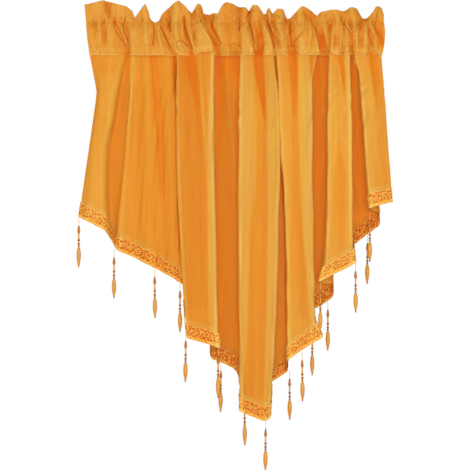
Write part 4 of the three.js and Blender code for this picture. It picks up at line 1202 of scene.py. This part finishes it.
# Each part of a string: how far down, radius, and colour (0 pale thread, 1 orange, 2 brown-orange, 3 dark)
DROP_SHAPE = [
    [(0, 0.35, 0), (4, 0.4, 0.2), (8, 0.35, 0), (11.4, 0.4, 0.3)],
    [(11.3, 0.3, 2), (12.2, 1.1, 2), (15, 1.5, 2), (18, 2.0, 2), (20, 2.2, 1.8), (21.8, 1.6, 2),
     (22.6, 0.6, 2.4)],
    [(22.5, 0.8, 1), (23, 1.25, 0.8), (26.5, 1.1, 0.6), (30, 1.25, 0.8), (30.6, 0.8, 1)],
    [(30.6, 0.8, 2.4), (31.3, 1.7, 2.4), (32.2, 2.0, 2.1), (33.1, 1.7, 2.4), (33.8, 0.8, 2.6)],
    [(33.8, 0.7, 1), (34.6, 1.1, 1), (35.3, 0.7, 1)],
    [(35.3, 0.6, 2.4), (36.2, 1.5, 2.2), (37.4, 1.9, 2), (38.6, 1.5, 2.2), (39.6, 0.6, 2.4)],
    [(39.6, 0.6, 2.6), (40.2, 1.5, 2.5), (41.2, 1.5, 2.3), (41.9, 0.7, 2.6)],
    [(41.9, 0.9, 1.3), (42.8, 1.6, 1.1), (45, 2.3, 1), (48, 2.8, 0.9), (52, 3.1, 0.9), (56, 3.1, 0.9),
     (60, 2.7, 1), (64, 2.0, 1), (67, 1.4, 1.2), (68.8, 1.0, 1.8), (69.2, 1.0, 2.8), (70.1, 0.8, 2.8),
     (70.9, 0.3, 3)],
]
DROPS = 17
DROP_SIDES = 14
DARKEST = 3
DROP_LEAN = 0.012
GLAZE_PALE = (0.86, 0.50, 0.15, 1)
GLAZE_ORANGE = (0.74, 0.31, 0.03, 1)
GLAZE_BROWN = (0.52, 0.16, 0.015, 1)
GLAZE_DARK = (0.16, 0.06, 0.02, 1)
beads = bpy.data.materials.new("beads")
beads.use_nodes = True
tree = beads.node_tree
place = node(tree, "NewGeometry", {}).outputs["Position"]
mottle = node(tree, "TexNoise", {"Scale": 260, "Vector": place})
vary = node(tree, "MapRange", {"To Min": -0.09, "To Max": 0.09, "Value": mottle.outputs[0]})
level = math_node(tree, "ADD", painted_on(tree, "tone"), vary.outputs[0])
strands = node(tree, "TexNoise", {"Scale": 1500, "Vector": place})
relief = node(tree, "Bump", {"Strength": 0.15, "Distance": 0.0003, "Height": strands.outputs[0]})
glaze = tree.nodes["Principled BSDF"].inputs
for socket, value in (("Roughness", 0.42), ("Specular IOR Level", 0.3), ("Coat Weight", 0.1),
                      ("Coat Roughness", 0.2)):
    glaze[socket].default_value = value
tree.links.new(coloured(tree, level, GLAZE_PALE, GLAZE_DARK, [(0.33, GLAZE_ORANGE), (0.66, GLAZE_BROWN)]),
               glaze["Base Color"])
tree.links.new(relief.outputs[0], glaze["Normal"])

draw = np.random.default_rng(8).uniform
for n in range(1, DROPS + 1):
    node_name = f"drop_{n:02d}"
    low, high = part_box(node_name)
    x, y, top = (low[0] + high[0]) / 2 / MM, (low[1] + high[1]) / 2 / MM, high[2] / MM
    lean_x, lean_y = draw(-DROP_LEAN, DROP_LEAN, 2)
    blocks = []
    for part in DROP_SHAPE:
        points, tones, uvs = [], [], []
        for down, radius, colour in part:
            for k in range(DROP_SIDES):
                angle = 2 * math.pi * k / DROP_SIDES
                a, b = around(radius, angle)
                points.append((x + lean_x * down + a, y + lean_y * down + b, top - down))
                tones.append(colour / DARKEST)
                uvs.append((angle * radius, down))
        faces = [face[::-1] for face in grid_faces(len(part), DROP_SIDES, wrap=True)]
        faces += [tuple(end + k for k in range(DROP_SIDES)) for end in (0, (len(part) - 1) * DROP_SIDES)]
        blocks.append((np.array(points), faces, np.array(uvs), np.array(tones)))
    fitted(node_name + "_beads", joined_mesh(node_name + "_beads", blocks), beads, node_name)


# The stitching. Rows of small machine stitches in orange thread: at the top and the foot of the rod pocket,
# along the turned hem, along both edges of the braid and down the two side hems. Each is a bit of thread.
STITCH_LENGTH = 2.6
STITCH_PITCH = 3.4
STITCH_RADIUS = 0.22
STITCH_SIDES = 4
STITCH_RINGS = 4
STITCH_TONE = 0.42
STITCH_FACE = 0.4
FIRST_STITCH = 0.6
END_THINNER = 0.45
UPRIGHT = 0.2
ON_CLOTH, ON_SIDE_HEM = 0.25, 0.3
FOOT_SEAM = -44.5
SIDE_COLUMNS = (3, -5)


def stitches(line):
    # line is a run of points on the cloth's face, in millimetres; the result is one block for each stitch
    run = np.r_[0, np.cumsum(np.linalg.norm(np.diff(line, axis=0), axis=1))]
    made = []
    for start in np.arange(FIRST_STITCH, run[-1] - STITCH_LENGTH, STITCH_PITCH):
        along = start + np.linspace(0, STITCH_LENGTH, STITCH_RINGS)
        centre = np.stack([np.interp(along, run, line[:, k]) for k in range(3)], axis=1)
        way = centre[-1] - centre[0]
        size = np.linalg.norm(way)
        if size < 0.5 * STITCH_LENGTH:
            continue
        way /= size
        first = np.cross(way, (0, 1, 0))
        if np.linalg.norm(first) < UPRIGHT:
            first = np.cross(way, (0, 0, 1))
        first /= np.linalg.norm(first)
        second = np.cross(way, first)
        points = []
        for n, spot in enumerate(centre):
            thick = STITCH_RADIUS * (END_THINNER if n in (0, STITCH_RINGS - 1) else 1)
            for k in range(STITCH_SIDES):
                angle = 2 * math.pi * k / STITCH_SIDES
                points.append(spot + thick * (math.cos(angle) * first + math.sin(angle) * second))
        last = (STITCH_RINGS - 1) * STITCH_SIDES
        faces = grid_faces(STITCH_RINGS, STITCH_SIDES, wrap=True)
        faces += [tuple(range(STITCH_SIDES)), tuple(last + k for k in reversed(range(STITCH_SIDES)))]
        uv = np.stack([np.repeat(along, STITCH_SIDES),
                       np.tile(np.arange(STITCH_SIDES) * STITCH_FACE, STITCH_RINGS)], axis=-1)
        made.append((np.array(points), faces, uv, STITCH_TONE))
    return made


heading_seams, hem_seams, side_seams = [], [], []
for seam_height in (FOOT_SEAM, 0):
    row = front_wall[np.argmin(np.abs(front_heights - seam_height))].copy()
    row[:, :2] += ON_CLOTH * facing(row)
    heading_seams += stitches(row)
for above, lift in ((HEM_TURN - 1.2, ON_CLOTH), (BRAID_HEIGHT - 1.4, BAND_LIFT + 0.5),
                    (1.3, BAND_LIFT + 0.6)):
    hem_seams += stitches(on_hem(hem_x, np.full(hem_x.shape, above), np.full(hem_x.shape, lift)))
for column in SIDE_COLUMNS:
    side_seams += stitches(front_points[:UPPER_ROWS, column] - (0, ON_SIDE_HEM, 0))
for name, stands_for, blocks, slot in (("heading_stitches", "heading", heading_seams, "voile"),
                                       ("hem_stitches", "braid", hem_seams, "lace"),
                                       ("side_stitches", "panel", side_seams, "voile")):
    fitted(name, joined_mesh(name, blocks), lace, stands_for)
